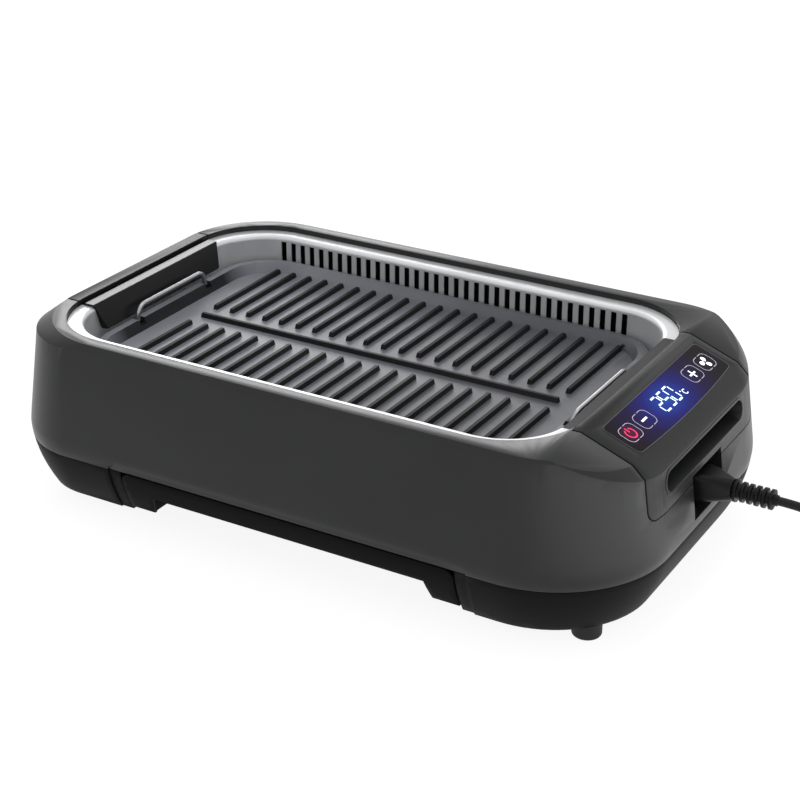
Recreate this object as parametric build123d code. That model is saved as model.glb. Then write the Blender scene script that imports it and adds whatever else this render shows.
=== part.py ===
from build123d import *
import math
import os

os.makedirs("parts", exist_ok=True)

# Smokeless indoor grill: a low housing with a slotted steel well, a ribbed grill plate that lifts out,
# a drip drawer in the front, an extractor fan behind it and a touch panel across the right end.
# Millimetres, +Z up, front towards -Y, origin under the centre of the housing at the feet.

# Housing, seen from above at its widest level
housing_half_length = 280.0
housing_half_width = 173.6
left_corner_radius = 73.4
right_corner_radius = 97.0
skin = 2.8
wall_draft = 8.0

# Levels of the housing
top_level = 152.0
belly_top_level = 75.0
widest_level = 64.0
seam_level = 53.0
base_level = 13.0
base_tuck = 15.6
base_floor = 2.5
crown_ease = 0.3
seam_gap = 0.6

# Bevelled belt round the deck
belt_drop = 7.0
belt_end_width = 7.1
belt_side_width = 3.35
crest_left_inset = 18.5
crest_right_inset = 21.5
crest_side_inset = 14.75
crest_left = crest_left_inset - housing_half_length
crest_right = housing_half_length - crest_right_inset
crest_half_width = housing_half_width - crest_side_inset
crest_left_radius = 76.0
crest_right_radius = 70.0
belt_left_radius_change = -14.0
belt_right_radius_change = 4.0

# The deck slopes down to the right behind this crease
panel_reach = 41.6
crease_x = crest_right - panel_reach
panel_slope = 21.1
panel_belt_end_width = 18.0
panel_belt_radius_change = 10.0

# Mouth of the well in the deck
deck_left_border = 11.2
deck_right_border = 6.6
deck_side_border = 11.25
mouth_left = crest_left + deck_left_border
mouth_right = crease_x - deck_right_border
mouth_half_width = crest_half_width - deck_side_border
mouth_radius = 64.8
mouth_depth = 4.6
mouth_lip = 2.4
shelf_reach = 5.6
shelf_thickness = 1.8

# Stepped steel well that hangs by its flange
flange_end_width = 14.0
flange_side_width = 13.95
well_left = mouth_left + flange_end_width
well_right = mouth_right - flange_end_width
well_half_width = mouth_half_width - flange_side_width
well_radius = mouth_radius - flange_end_width
sheet = 1.0
flange_bend = 4.0
flange_gap = 0.5
ledge_level = 113.8
ledge_width = 14.0
well_floor_level = 71.0
drip_end_margin = 86.3
drip_front_margin = 28.65
drip_back_margin = 16.0
drip_opening_left = well_left + drip_end_margin
drip_opening_right = well_right - drip_end_margin
drip_opening_front = drip_front_margin - well_half_width

# Air slots in both long walls of the well
slot_pitch = 10.0
slot_width = 5.0
slot_top = 142.2
slot_bottom = 120.0
slot_left_margin = 42.3
slot_right_margin = 50.3
first_slot_x = well_left + slot_left_margin
slot_count = round((well_right - slot_right_margin - first_slot_x) / slot_pitch) + 1

# Clearances
seat_gap = 0.1
part_gap = 0.3
running_gap = 0.05

# Right saddle: control panel, carry slot and upper half of the inlet recess
saddle_overhang = 0.8
saddle_inner_x = mouth_right - saddle_overhang
saddle_half_width = 103.0
saddle_bottom = 92.5
saddle_corner = 10.0
left_saddle_half_width = 92.0
left_saddle_inner_x = mouth_left + 2.3
carry_half_width = 75.0
carry_bottom = 104.0
carry_top = 120.5
carry_depth = 30.0
pocket_wall = 1.6
carry_rim_width = 2.4
carry_rim_height = 0.6
groove_width = 1.4
groove_depth = 1.7

# Touch glass on the sloping panel, measured down the slope from the crease
glass_near = 7.4
glass_far = 36.8
glass_bow = 3.0
glass_centre_y = 5.0
glass_half_width = 86.0
glass_corner = 4.0
glass_thickness = 1.2
display_length = 58.0
display_width = 20.0
display_height = 3.4
board_drop = 9.0
board_thickness = 1.6

# Inner guards at both ends of the well
guard_top = 149.5
guard_reach = 6.8
guard_back_gap = 1.3
guard_inner_x = well_left + guard_reach
guard_outer_x = mouth_left + guard_back_gap
guard_bottom = 126.1
guard_top_half_width = 88.0
guard_bottom_half_width = 80.0
guard_step_level = 143.6
guard_strip_outer_x = guard_outer_x + 5.8
guard_strip_inner_x = guard_strip_outer_x + 6.4
notch_level = 126.0
right_notch_half_width = 94.0

# Cast grill plate
plate_end_gap = 9.3
plate_side_gap = 3.45
plate_left = well_left + plate_end_gap
plate_right = well_right - plate_end_gap
plate_half_width = well_half_width - plate_side_gap
plate_radius = 47.4
plate_rim_top = 126.5
plate_surface = 117.4
plate_left_border = 7.5
plate_right_border = 10.0
plate_side_border = 5.2
plate_pocket_left = plate_left + plate_left_border
plate_pocket_right = plate_right - plate_right_border
plate_pocket_half_width = plate_half_width - plate_side_border
plate_pocket_draft = 24.0
plate_skin = 3.2
rib_height = 4.0
rib_width = 4.6
rib_pitch = 17.0
rib_end_margin = 37.0
rib_count = 2 * round((plate_right - plate_left - 2 * rib_end_margin) / 2 / rib_pitch) + 1
rib_inner = 18.0
rib_side_margin = 12.2
rib_outer = plate_half_width - rib_side_margin
spine_margin = 36.0
spine_left = plate_left + spine_margin
spine_right = plate_right - spine_margin
plate_centre_x = (plate_left + plate_right) / 2

# Folding wire handles on the plate
wire = 4.0
handle_half_width = 48.0
handle_height = 13.5
handle_bend = 10.0
handle_pivot_level = 123.5
handle_pivot_inset = 4.2
handle_pin_length = 8.0
fold_slot_reach = 9.0
fold_slot_gap = 0.6
fold_slot_side = 1.5
right_handle_lean = 15.0

# Tubular heating element
element_diameter = 6.6
element_level = 103.5
element_bend = 18.0
element_half_gap = 22.0
element_side_margin = 38.65
element_left_margin = 46.3
element_right_margin = 56.3
element_half_width = well_half_width - element_side_margin
element_inner_half = 40.0
element_left = well_left + element_left_margin
element_right = well_right - element_right_margin
element_return = element_right - 64.0
terminal_end_x = well_right + 9.7
support_places = (element_left + 25, element_left + 130, element_right - 90)
support_half_length = element_half_width + 17

# Drip drawer
drawer_half_width = 151.0
drawer_gap = 1.2
drawer_top = 52.6
drawer_lip = 34.0
drawer_tab_width = 27.0
drawer_tab_half_width = drawer_half_width - drawer_tab_width
drawer_tab_bottom = 17.0
drawer_corner = 8.0
drawer_recess_margin = 12.0
drawer_recess_top = 59.5
drawer_recess_depth = 1.6
drawer_front_inset = 1.0
drawer_skin = 2.6
bin_side_margin = 13.0
bin_front_margin = 49.6
bin_half_width = drawer_half_width - bin_side_margin
bin_front = bin_front_margin - housing_half_width
bin_top = 46.0
bin_wall = 1.6
bin_radius = 12.0
bin_rim = 4.0
rail_height = 1.5
rail_x = 100.0

# Extractor fan, axis upright
fan_x = -20.0
fan_back_margin = 89.6
fan_y = housing_half_width - fan_back_margin
wheel_radius = 38.0
wheel_eye_radius = 25.0
wheel_height = 20.0
blade_count = 24
blade_thickness = 1.1
blade_lean = 34.0
scroll_radius = 54.0
scroll_step = 4.0
scroll_wall = 1.6
scroll_height = 31.4
duct_margin = 19.6
duct_end_y = housing_half_width - duct_margin
bin_back_gap = 6.0
bin_back = fan_y - scroll_radius - bin_back_gap
drip_opening_back = bin_back - drip_back_margin
inlet_eye_radius = 28.0
shaft_diameter = 3.0
motor_diameter = 34.0
motor_height = 18.0
bracket_thickness = 1.6

# Feet
foot_end_margin = 43.3
foot_side_margin = 52.8
foot_x = housing_half_length - foot_end_margin
foot_y = housing_half_width - foot_side_margin
foot_diameter = 22.8
foot_spigot = 8.0

# Mains inlet, connector and lead
inlet_level = 80.3
recess_half_width = 28.5
recess_bottom = 62.0
recess_top = 98.0
recess_depth = 28.0
recess_back_x = housing_half_length - recess_depth
socket_width = 27.0
socket_height = 19.8
socket_depth = 20.0
cavity_width = 24.8
cavity_height = 17.2
cavity_depth = 15.0
pin_width = 4.0
pin_thickness = 2.0
pin_pitch = 7.0
pin_reach = 12.0
nose_length = 14.5
connector_length = 46.0
connector_back_x = recess_back_x + connector_length
relief_length = 35.0
relief_rings = 6
ring_diameter = 16.0
ring_pitch = 5.6
ring_width = 2.6
relief_core = 11.0
lead_diameter = 7.0

# Lead: straight out of the connector, down to the worktop and into a coil
lead_level = 3.55
lead_start_x = connector_back_x + relief_length
lead_points = [
    (lead_start_x, 0.0, inlet_level),
    (lead_start_x + 20.0, 0.0, inlet_level),
    (lead_start_x + 43.7, 3.3, 72.8),
    (lead_start_x + 63.9, 12.3, 57.3),
    (lead_start_x + 78.4, 26.3, 37.8),
    (lead_start_x + 88.2, 44.7, 19.1),
    (lead_start_x + 93.2, 68.4, 7.3),
    (lead_start_x + 94.3, 93.1, lead_level),
    (lead_start_x + 94.3, 115.0, lead_level),
]
coil_straight = 12.0
coil_outer_radius = 44.0
coil_pitch = 7.8
coil_layer = 7.6
coil_half_turns_below = 4
coil_half_turns_above = 3

# Mains plug
plug_width = 26.0
plug_height = 22.0
plug_length = 37.0
plug_relief_length = 26.0
plug_relief_diameter = 13.0
blade_reach = 18.0

# Fasteners
post_diameter = 9.0
post_end_margin = 75.0
post_side_margin = 23.6
post_x = housing_half_length - post_end_margin
post_y = housing_half_width - post_side_margin
post_top = 60.0
screw_diameter = 3.2
screw_head = 6.4
screw_head_height = 2.4
screw_seat = 48.0
screw_top = 63.5
lug_thickness = 4.0

slope_cos = math.cos(math.radians(panel_slope))
slope_sin = math.sin(math.radians(panel_slope))
draft_tan = math.tan(math.radians(wall_draft))
floor_level = base_level + base_floor
beyond_x = housing_half_length + 140
beyond_y = housing_half_width + 146.4
beyond_z = top_level + 68
slope_plane = Plane(origin=(crease_x, 0, top_level), x_dir=(slope_cos, 0, -slope_sin), z_dir=(slope_sin, 0, slope_cos))


def save(shape, node):
    """Write one piece and say how large it is."""
    export_step(shape, f"parts/{node}.step")
    print(node, len(shape.solids()), round(shape.volume))


def block(x0, x1, y0, y1, z0, z1):
    """Box between two corners."""
    return Pos((x0 + x1) / 2, (y0 + y1) / 2, (z0 + z1) / 2) * Box(x1 - x0, y1 - y0, z1 - z0)


def upright(x, y, z0, z1, radius):
    """Vertical cylinder between two levels."""
    return Pos(x, y, (z0 + z1) / 2) * Cylinder(radius, z1 - z0)


def plan(left, right, half, left_radius, right_radius, level=0.0):
    """Flat face, a rectangle whose corners have one radius at the left and another at the right."""
    lr, rr = left_radius, right_radius
    edges = [
        Line((left + lr, -half), (right - rr, -half)),
        CenterArc((right - rr, -half + rr), rr, -90, 90),
        Line((right, -half + rr), (right, half - rr)),
        CenterArc((right - rr, half - rr), rr, 0, 90),
        Line((right - rr, half), (left + lr, half)),
        CenterArc((left + lr, half - lr), lr, 90, 90),
        Line((left, half - lr), (left, -half + lr)),
        CenterArc((left + lr, -half + lr), lr, 180, 90),
    ]
    return Pos(0, 0, level) * Face(Wire(edges))


def outline_step(level):
    """How far the housing's side lies inside its widest outline at a level."""
    if level > widest_level:
        return (level - widest_level) * draft_tan
    tuck = (widest_level - level) / (widest_level - base_level)
    return crown_ease + base_tuck * tuck**1.8


def housing_outline(inset):
    """Widest outline of the housing, moved inward by the inset."""
    return plan(-housing_half_length + inset, housing_half_length - inset, housing_half_width - inset,
                left_corner_radius - inset, right_corner_radius - inset)


def belly(inset):
    """Solid form of the housing's side, rounded below and drafted above, moved inward by the inset."""
    levels = [base_level, 21.0, 29.0, 38.0, 47.0, 56.0, widest_level, belly_top_level]
    points = [(-outline_step(level) - inset, level) for level in levels]
    top = top_level + 6
    reach = -60.0
    start_lean = base_tuck * 1.8 / (widest_level - base_level)
    curve = Spline(*points, tangents=[(start_lean, 1), (-draft_tan, 1)])
    wall_top = (-outline_step(top) - inset, top)
    section = Face(Wire([Line((reach, base_level), points[0]), curve, Line(points[-1], wall_top),
                         Line(wall_top, (reach, top)), Line((reach, top), (reach, base_level))]))
    path = housing_outline(0).outer_wire()
    start = Plane(origin=(-housing_half_length + left_corner_radius, -housing_half_width, 0),
                  x_dir=(0, -1, 0), z_dir=(-1, 0, 0))
    ring = sweep(start * section, path=path)
    core = extrude(Pos(0, 0, base_level) * housing_outline(40), amount=top - base_level)
    return ring + core


def deck_limit(inset):
    """Space under the flat deck, the sloping panel and their bevelled belts."""
    reach = 4.0
    low = top_level - reach * belt_drop
    flat = loft(
        [
            plan(crest_left + inset, crest_right - inset, crest_half_width - inset,
                 crest_left_radius - inset, crest_right_radius - inset, top_level),
            plan(crest_left - reach * belt_end_width + inset, crest_right + reach * belt_end_width - inset,
                 crest_half_width + reach * belt_side_width - inset,
                 crest_left_radius + reach * belt_left_radius_change,
                 crest_right_radius + reach * belt_right_radius_change - inset, low),
            plan(-beyond_x, beyond_x, beyond_y, crest_left_radius, crest_right_radius, base_level - 20),
        ],
        ruled=True,
    )
    crest_slope = (crest_right - crease_x) / slope_cos
    far_left = -2 * housing_half_length
    slope = loft(
        [
            plan(far_left, crest_slope - inset, crest_half_width - inset, 10, crest_right_radius - inset, 0),
            plan(far_left, crest_slope + reach * panel_belt_end_width - inset,
                 crest_half_width + reach * belt_side_width - inset, 10,
                 crest_right_radius + reach * panel_belt_radius_change - inset, -reach * belt_drop),
            plan(far_left - 340, housing_half_length + 20, beyond_y, 10, crest_right_radius, -420),
        ],
        ruled=True,
    )
    return Pos(0, 0, -inset) * (flat & slope_plane.location * slope)


def envelope(inset):
    """Whole outer form of the housing, moved inward by the inset."""
    return belly(inset) & deck_limit(inset)


def mouth(grow=0.0, bottom=100.0, height=70.0):
    """Prism over the mouth of the well, grown outward by a distance."""
    face = plan(mouth_left - grow, mouth_right + grow, mouth_half_width + grow,
                mouth_radius + grow, mouth_radius + grow, bottom)
    return extrude(face, amount=height)


def saddle_region(side, grow=0.0, low=None):
    """Space taken by a saddle: over the deck and down the end wall, with rounded lower corners."""
    half = (saddle_half_width if side > 0 else left_saddle_half_width) + grow
    bottom = saddle_bottom - (grow if low is None else low)
    corner = saddle_corner + grow
    inner = (saddle_inner_x if side > 0 else -left_saddle_inner_x) - max(grow, 0)
    profile = Plane.YZ * (
        Pos(0, bottom + corner + 50) * Rectangle(2 * half, 100)
        + Pos(0, bottom + corner) * Rectangle(2 * (half - corner), 2 * corner)
        + Pos(half - corner, bottom + corner) * Circle(corner)
        + Pos(corner - half, bottom + corner) * Circle(corner)
    )
    prism = extrude(profile, amount=beyond_x - inner)
    return Pos(inner, 0, 0) * prism if side > 0 else Pos(-beyond_x, 0, 0) * prism


above_seam = block(-beyond_x, beyond_x, -beyond_y, beyond_y, seam_level + seam_gap, beyond_z)
below_seam = block(-beyond_x, beyond_x, -beyond_y, beyond_y, 0, seam_level)
outer = envelope(0)
inner = envelope(skin)
belly_outer = belly(0)
belly_inner = belly(skin)
groove_core = envelope(groove_depth)


def across(points, x0, x1):
    """Prism along X over a closed outline given as (y, z) points."""
    return Pos(x0, 0, 0) * extrude(Plane.YZ * make_face(Polyline(points, close=True)), amount=x1 - x0)


def along(points, y0, y1):
    """Prism along Y over a closed outline given as (x, z) points."""
    face = make_face(Polyline([(x, y0, z) for x, z in points], close=True))
    return extrude(face, amount=y1 - y0, dir=(0, 1, 0))


def wall_slot(grow, start, end):
    """Carry slot's outline with round ends, along X between two distances from the middle."""
    height = carry_top - carry_bottom + 2 * grow
    face = Plane.YZ * Pos(0, (carry_top + carry_bottom) / 2) * SlotOverall(2 * (carry_half_width + grow), height)
    return Pos(start, 0, 0) * extrude(face, amount=end - start)


def drawer_recess():
    """Shallow recess in housing and base round the drawer's front."""
    half = drawer_half_width + drawer_recess_margin
    face = Plane.XZ * Pos(0, drawer_recess_top / 2) * Rectangle(2 * half, drawer_recess_top)
    face = fillet(face.vertices().group_by(Axis.Z)[-1], drawer_corner)
    prism = extrude(face, amount=housing_half_width + 20)
    return prism - belly(drawer_recess_depth)


recess_space = block(recess_back_x, beyond_x, -recess_half_width, recess_half_width, recess_bottom, recess_top)


def upper_housing():
    """Outer shell above the seam, with the lip and shelf of the well's mouth."""
    shell = (outer - inner) & above_seam
    shell = shell - mouth()
    shelf_top = top_level - mouth_depth - sheet - seat_gap
    collar = mouth(mouth_lip, shelf_top - shelf_thickness, top_level - shelf_top + shelf_thickness - 1.0) - mouth()
    shelf = mouth(mouth_lip, shelf_top - shelf_thickness, shelf_thickness) - mouth(-shelf_reach)
    shell = shell + collar + shelf
    shell = shell - saddle_region(1, part_gap) - saddle_region(-1, part_gap)
    guard_space = block(guard_outer_x - 2, guard_outer_x + 9, -guard_top_half_width - part_gap,
                        guard_top_half_width + part_gap, 130, top_level + 8)
    shell = shell - guard_space
    wall = pocket_wall
    low = block(recess_back_x - wall, beyond_x, -recess_half_width - wall, recess_half_width + wall,
                recess_bottom - wall, saddle_bottom - part_gap)
    high = block(recess_back_x - wall, beyond_x, -recess_half_width - wall, recess_half_width + wall,
                 saddle_bottom - 5, recess_top + wall)
    shell = shell + (low & outer) + (high & (Pos(-seat_gap, 0, 0) * inner))
    socket_hole = block(recess_back_x - 9, recess_back_x + 1, -socket_width / 2 - seat_gap,
                        socket_width / 2 + seat_gap, inlet_level - socket_height / 2 - seat_gap,
                        inlet_level + socket_height / 2 + seat_gap)
    shell = shell - recess_space - socket_hole - drawer_recess()
    for sx in (-1, 1):
        for sy in (-1, 1):
            lug = block(*sorted((sx * (post_x - 8), sx * (post_x + 8))),
                        *sorted((sy * (post_y - 7), sy * (housing_half_width + 2.4))),
                        post_top + 2 * seat_gap, post_top + 2 * seat_gap + lug_thickness)
            hole = upright(sx * post_x, sy * post_y, post_top, post_top + 8, screw_diameter / 2 + running_gap)
            shell = shell + (lug & belly_outer) - hole
    return shell


def base_tub():
    """Lower shell with its floor, tongue, posts, vents and the cut for the drawer."""
    hollow = block(-beyond_x, beyond_x, -beyond_y, beyond_y, floor_level, seam_level + 27)
    step = block(-beyond_x, beyond_x, -beyond_y, beyond_y, seam_level - 5, seam_level)
    rise = block(-beyond_x, beyond_x, -beyond_y, beyond_y, seam_level - 5, seam_level + 4)
    tub = (belly_outer & below_seam) - (belly_inner & hollow)
    tongue = ((belly(skin - 0.6) & step) - belly(skin + 1.8)) + ((belly(skin + 0.25) - belly(skin + 1.8)) & rise)
    tub = tub + tongue
    tub = tub - block(-drawer_half_width - drawer_gap, drawer_half_width + drawer_gap, -beyond_y, bin_front - 2,
                      0, seam_level + 7)
    tub = tub - drawer_recess()
    for x in (-rail_x, rail_x):
        tub = tub + block(x - 1.5, x + 1.5, bin_front, bin_back, floor_level - 0.5, floor_level + rail_height)
    for sx in (-1, 1):
        for sy in (-1, 1):
            tub = tub + upright(sx * post_x, sy * post_y, floor_level - 1, post_top, post_diameter / 2)
            tub = tub - upright(sx * post_x, sy * post_y, 0, screw_seat, screw_head / 2 + part_gap)
            tub = tub - upright(sx * post_x, sy * post_y, 40, 70, screw_diameter / 2 + part_gap)
            tub = tub + upright(sx * foot_x, sy * foot_y, floor_level - 1, floor_level + 5, foot_diameter / 2)
            tub = tub - upright(sx * foot_x, sy * foot_y, 0, 30, foot_spigot / 2 + seat_gap)
    for side in (-1, 1):
        y = side * (board_half_width + 1)
        post = block(board_x - 4, board_x + 4, y - 4, y + 4, floor_level - 1, board_top)
        slot = block(board_x - board_thickness / 2 - seat_gap, board_x + board_thickness / 2 + seat_gap,
                     *sorted((side * (board_half_width + seat_gap), 0)), board_bottom - seat_gap, board_top + 1)
        tub = tub + (post - slot)
    vents = [Pos(x, y, base_level) * Box(4, 46, 20)
             for x in range(170, 226, 9) for y in (-38, 38)]
    vents += [Pos(-x, y, base_level) * Box(4, 46, 20) for x in range(170, 226, 9) for y in (-38, 38)]
    outlets = [Pos(fan_x + 14 + 8 * i, housing_half_width, 33) * Box(4, 60, 20) for i in range(5)]
    return tub - vents - outlets


def saddle_shell(side):
    """Skin of a saddle, cut from the same envelope as the housing, with a groove along its sides."""
    shell = ((outer - inner) & saddle_region(side)) - mouth()
    groove = (saddle_region(side) - saddle_region(side, -groove_width, -0.4)) - groove_core
    shell = shell - groove
    half = saddle_half_width if side > 0 else left_saddle_half_width
    start = housing_half_length - outline_step(carry_bottom) - carry_depth
    turn = Rot(0, 0, 0 if side > 0 else 180)
    pocket = turn * wall_slot(pocket_wall, start - pocket_wall, beyond_x) & outer
    rim = turn * (wall_slot(carry_rim_width, start + 10, beyond_x)) & (Pos(side * carry_rim_height, 0, 0) * outer)
    shell = shell + pocket + (rim - (inner - saddle_region(side))) - turn * wall_slot(0, start, beyond_x)
    lip_depth = mouth_depth - seat_gap
    if side > 0:
        lip = block(saddle_inner_x, saddle_inner_x + mouth_lip, -half, half, top_level - lip_depth, top_level - 1)
        shell = (shell + lip) - recess_space
    else:
        lip = block(mouth_left - mouth_lip, mouth_left, -half, half, top_level - lip_depth, top_level - 1)
        shell = shell + lip
    return shell


def glass_face(shrink=0.0):
    """Outline of the touch glass on the panel, its outer edge slightly bowed."""
    half = glass_half_width - shrink
    near, far = glass_near + shrink, glass_far - shrink
    edge = [
        Line((near, -half), (far, -half)),
        ThreePointArc((far, -half), (far + glass_bow, 0), (far, half)),
        Line((far, half), (near, half)),
        Line((near, half), (near, -half)),
    ]
    face = Face(Wire(edge))
    return Pos(0, glass_centre_y) * fillet(face.vertices(), glass_corner)


def on_panel(shape):
    """Move a shape drawn on the XY plane onto the sloping panel."""
    return slope_plane.location * shape


key_slope = 25.0
key_ys = (73.5, 49.0, -43.6, -68.7)
display_slope = 24.5
display_y = -2.6
board_hole_slopes = (10.0, 36.0)
board_hole_ys = (-70.0, 80.0)
board_level = -board_drop


def right_saddle():
    """Control saddle: panel for the glass, carry slot and the upper half of the inlet recess."""
    shell = saddle_shell(1)
    seat = extrude(glass_face(-seat_gap), amount=-glass_thickness - seat_gap)
    window = Pos(display_slope, display_y, -3) * Box(display_width + 1, display_length + 1, 8)
    shell = shell - on_panel(seat) - on_panel(window)
    for y in key_ys:
        shell = shell - on_panel(Pos(key_slope, y, -3) * Cylinder(4.2, 8))
    for s in board_hole_slopes:
        for y in board_hole_ys:
            boss = Pos(s, y, (board_level + seat_gap - 2.0) / 2) * Cylinder(3.2, -(board_level + seat_gap) - 2.0)
            hole = Pos(s, y, board_level + 2) * Cylinder(screw_diameter / 2 - 0.5, 8)
            shell = shell + on_panel(boss) - on_panel(hole)
    return shell


def control_parts():
    """Glass, display module, touch springs and their board, stacked under the panel."""
    glass = on_panel(extrude(glass_face(), amount=-glass_thickness))
    save(glass, "touch_glass")
    board = Pos(23, glass_centre_y, board_level - board_thickness / 2) * Box(36, 166, board_thickness)
    for s in board_hole_slopes:
        for y in board_hole_ys:
            board = board - Pos(s, y, board_level) * Cylinder(screw_diameter / 2 - 0.4, 8)
    chip = Pos(16, 30, board_level - board_thickness - 0.9) * Box(7, 10, 2)
    header = Pos(14, -40, board_level - board_thickness - 2.9) * Box(6, 22, 6)
    save(on_panel(board + chip + header), "display_board")
    height = -glass_thickness - seat_gap - board_level - seat_gap
    level = board_level + seat_gap + height / 2
    module = Pos(display_slope, display_y, level) * Box(display_width, display_length, height)
    bezel = Pos(display_slope, display_y, level + height / 2) * Box(display_width - 4, display_length - 4, 0.6)
    save(on_panel(module - bezel), "led_display")
    springs = [Pos(key_slope, y, level) * (Cylinder(3.2, height) - Cylinder(2.2, height)) for y in key_ys]
    save(on_panel(Compound(springs)), "touch_springs")
    shank_top = board_level + 4.5
    screws = []
    for s in board_hole_slopes:
        for y in board_hole_ys:
            head = Pos(s, y, board_level - board_thickness - 0.1 - 0.9) * Cylinder(2.4, 1.8)
            shank_height = shank_top - board_level + board_thickness + 1.0
            shank = Pos(s, y, shank_top - shank_height / 2) * Cylinder(screw_diameter / 2 - 0.6, shank_height)
            screws.append(head + shank)
    save(on_panel(Compound(screws)), "board_screws")


def left_guard():
    """Black guard over the left end of the well, a step behind its top strip and slanted ends."""
    section = [(guard_outer_x, guard_step_level), (guard_strip_outer_x - 0.6, guard_step_level),
               (guard_strip_outer_x, guard_top), (guard_strip_inner_x, guard_top),
               (guard_inner_x, guard_bottom + 1.5), (guard_inner_x - 1.5, guard_bottom),
               (guard_outer_x + 6.0, guard_bottom), (guard_outer_x, guard_bottom + 8)]
    body = along(section, -guard_top_half_width, guard_top_half_width)
    return body & guard_ends(0.0)


def guard_ends(grow):
    """Trapezoid that slants both ends of the left guard, and the notch that it sits in."""
    low, high = guard_bottom - 3, guard_top + 3
    slope = (guard_top_half_width - guard_bottom_half_width) / (guard_top - guard_bottom)
    top = guard_top_half_width + 3 * slope + grow
    bottom = guard_bottom_half_width - 3 * slope + grow
    return across([(-bottom, low), (bottom, low), (top, high), (-top, high)], guard_outer_x - 21, guard_inner_x + 28)


def right_guard():
    """Folded black guard that shields the control end from the well."""
    half = right_notch_half_width - part_gap
    top = top_level - mouth_depth
    upright_sheet = block(well_right + 1.7, well_right + 2.7, -half, half, notch_level - 8, top)
    flange = block(well_right + 1.7, well_right + 19.7, -half, half, top - sheet, top)
    return upright_sheet + flange


def well():
    """Stepped steel well: sheet section carried round the outline, floor, slots and notches."""
    rim = mouth_half_width - well_half_width - flange_gap
    top = top_level - mouth_depth
    section = make_face(Polyline(
        (-20, floor_of_well), (-ledge_width, floor_of_well), (-ledge_width, ledge_level), (0, ledge_level),
        (0, top), (rim, top), (rim, top - sheet), (sheet, top - sheet), (sheet, ledge_level - sheet),
        (-ledge_width + sheet, ledge_level - sheet), (-ledge_width + sheet, floor_of_well - sheet),
        (-20, floor_of_well - sheet), close=True))
    section = fillet(section.vertices().sort_by_distance((0, top))[0], flange_bend)
    section = fillet(section.vertices().sort_by_distance((sheet, top - sheet))[0], flange_bend - sheet)
    path = plan(well_left, well_right, well_half_width, well_radius, well_radius).outer_wire()
    start = Plane(origin=(well_left + well_radius, -well_half_width, 0), x_dir=(0, -1, 0), z_dir=(-1, 0, 0))
    tub = sweep(start * section, path=path)
    reach = ledge_width + 5
    floor = extrude(plan(well_left + reach, well_right - reach, well_half_width - reach, well_radius - reach,
                         well_radius - reach, floor_of_well - sheet), amount=sheet)
    opening = extrude(Pos((drip_opening_left + drip_opening_right) / 2, (drip_opening_front + drip_opening_back) / 2,
                          floor_of_well - 5)
                      * RectangleRounded(drip_opening_right - drip_opening_left,
                                         drip_opening_back - drip_opening_front, 18), amount=10)
    tub = tub + floor - opening
    height = slot_top - slot_bottom
    slots = [Pos(first_slot_x + i * slot_pitch, 0, slot_bottom + height / 2) * Box(slot_width, 2 * beyond_y, height)
             for i in range(slot_count)]
    tub = tub - slots
    left_notch = guard_ends(part_gap) & block(-beyond_x, guard_inner_x, -beyond_y, beyond_y, notch_level, beyond_z)
    right_notch = block(well_right - 6, well_right + 34, -right_notch_half_width, right_notch_half_width,
                        notch_level, beyond_z)
    tub = tub - left_notch - right_notch
    for side in (-1, 1):
        tub = tub - Pos(well_right - ledge_width, side * element_half_gap, element_level) * Rot(0, 90, 0) * Cylinder(
            element_diameter / 2 + part_gap, 12)
    return tub


floor_of_well = well_floor_level


def grill_plate():
    """Cast plate with rim, sunken pocket, ribs in two banks, a spine and bearings for the handles."""
    underside = ledge_level + seat_gap
    body = extrude(plan(plate_left, plate_right, plate_half_width, plate_radius, plate_radius, underside),
                   amount=plate_rim_top - underside)
    body = fillet(body.edges().group_by(Axis.Z)[-1], 1.4)
    depth = plate_rim_top - plate_surface
    pocket = extrude(plan(plate_pocket_left, plate_pocket_right, plate_pocket_half_width,
                          plate_radius - 6, plate_radius - 6, plate_rim_top), amount=-depth, taper=plate_pocket_draft)
    body = body - pocket
    rib_length = rib_outer - rib_inner
    centre = (rib_outer + rib_inner) / 2
    bars = []
    for i in range(rib_count):
        x = plate_centre_x + (i - (rib_count - 1) / 2) * rib_pitch
        for side in (-1, 1):
            bars.append((x, side * centre, 90, rib_length))
    bars.append(((spine_left + spine_right) / 2, 0, 0, spine_right - spine_left))
    for x, y, angle, length in bars:
        face = Pos(x, y, plate_surface - 0.4) * Rot(0, 0, angle) * Rectangle(length, rib_width)
        body = body + extrude(face, amount=rib_height + 0.4, taper=10)
    # inside the slot's reach the handle's bend has moved this far from its straight leg
    into_bend = min(max(fold_slot_reach - (handle_height - handle_bend), 0), handle_bend)
    bend_shift = handle_bend - math.sqrt(handle_bend ** 2 - into_bend ** 2)
    slot_inner_y = handle_half_width - bend_shift - wire / 2 - fold_slot_gap
    slot_outer_y = handle_half_width + wire / 2 + fold_slot_side
    for end in (-1, 1):
        x = handle_pivot_x(end)
        for side in (-1, 1):
            fold_slot = block(*sorted((x - end * fold_slot_reach, x + end * 6.0)),
                              *sorted((side * slot_inner_y, side * slot_outer_y)),
                              handle_pivot_level - wire / 2 - part_gap, 140)
            bore = Pos(x, side * (handle_half_width + 5.5), handle_pivot_level) * Rot(90, 0, 0) * Cylinder(
                wire / 2 + running_gap, 2 * (handle_pin_length - 2.3))
            body = body - fold_slot - bore
    return body


def handle_pivot_x(end):
    """X of a handle's pivot at the left end (-1) or the right end (1) of the plate."""
    return plate_left + handle_pivot_inset if end < 0 else plate_right - handle_pivot_inset


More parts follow.
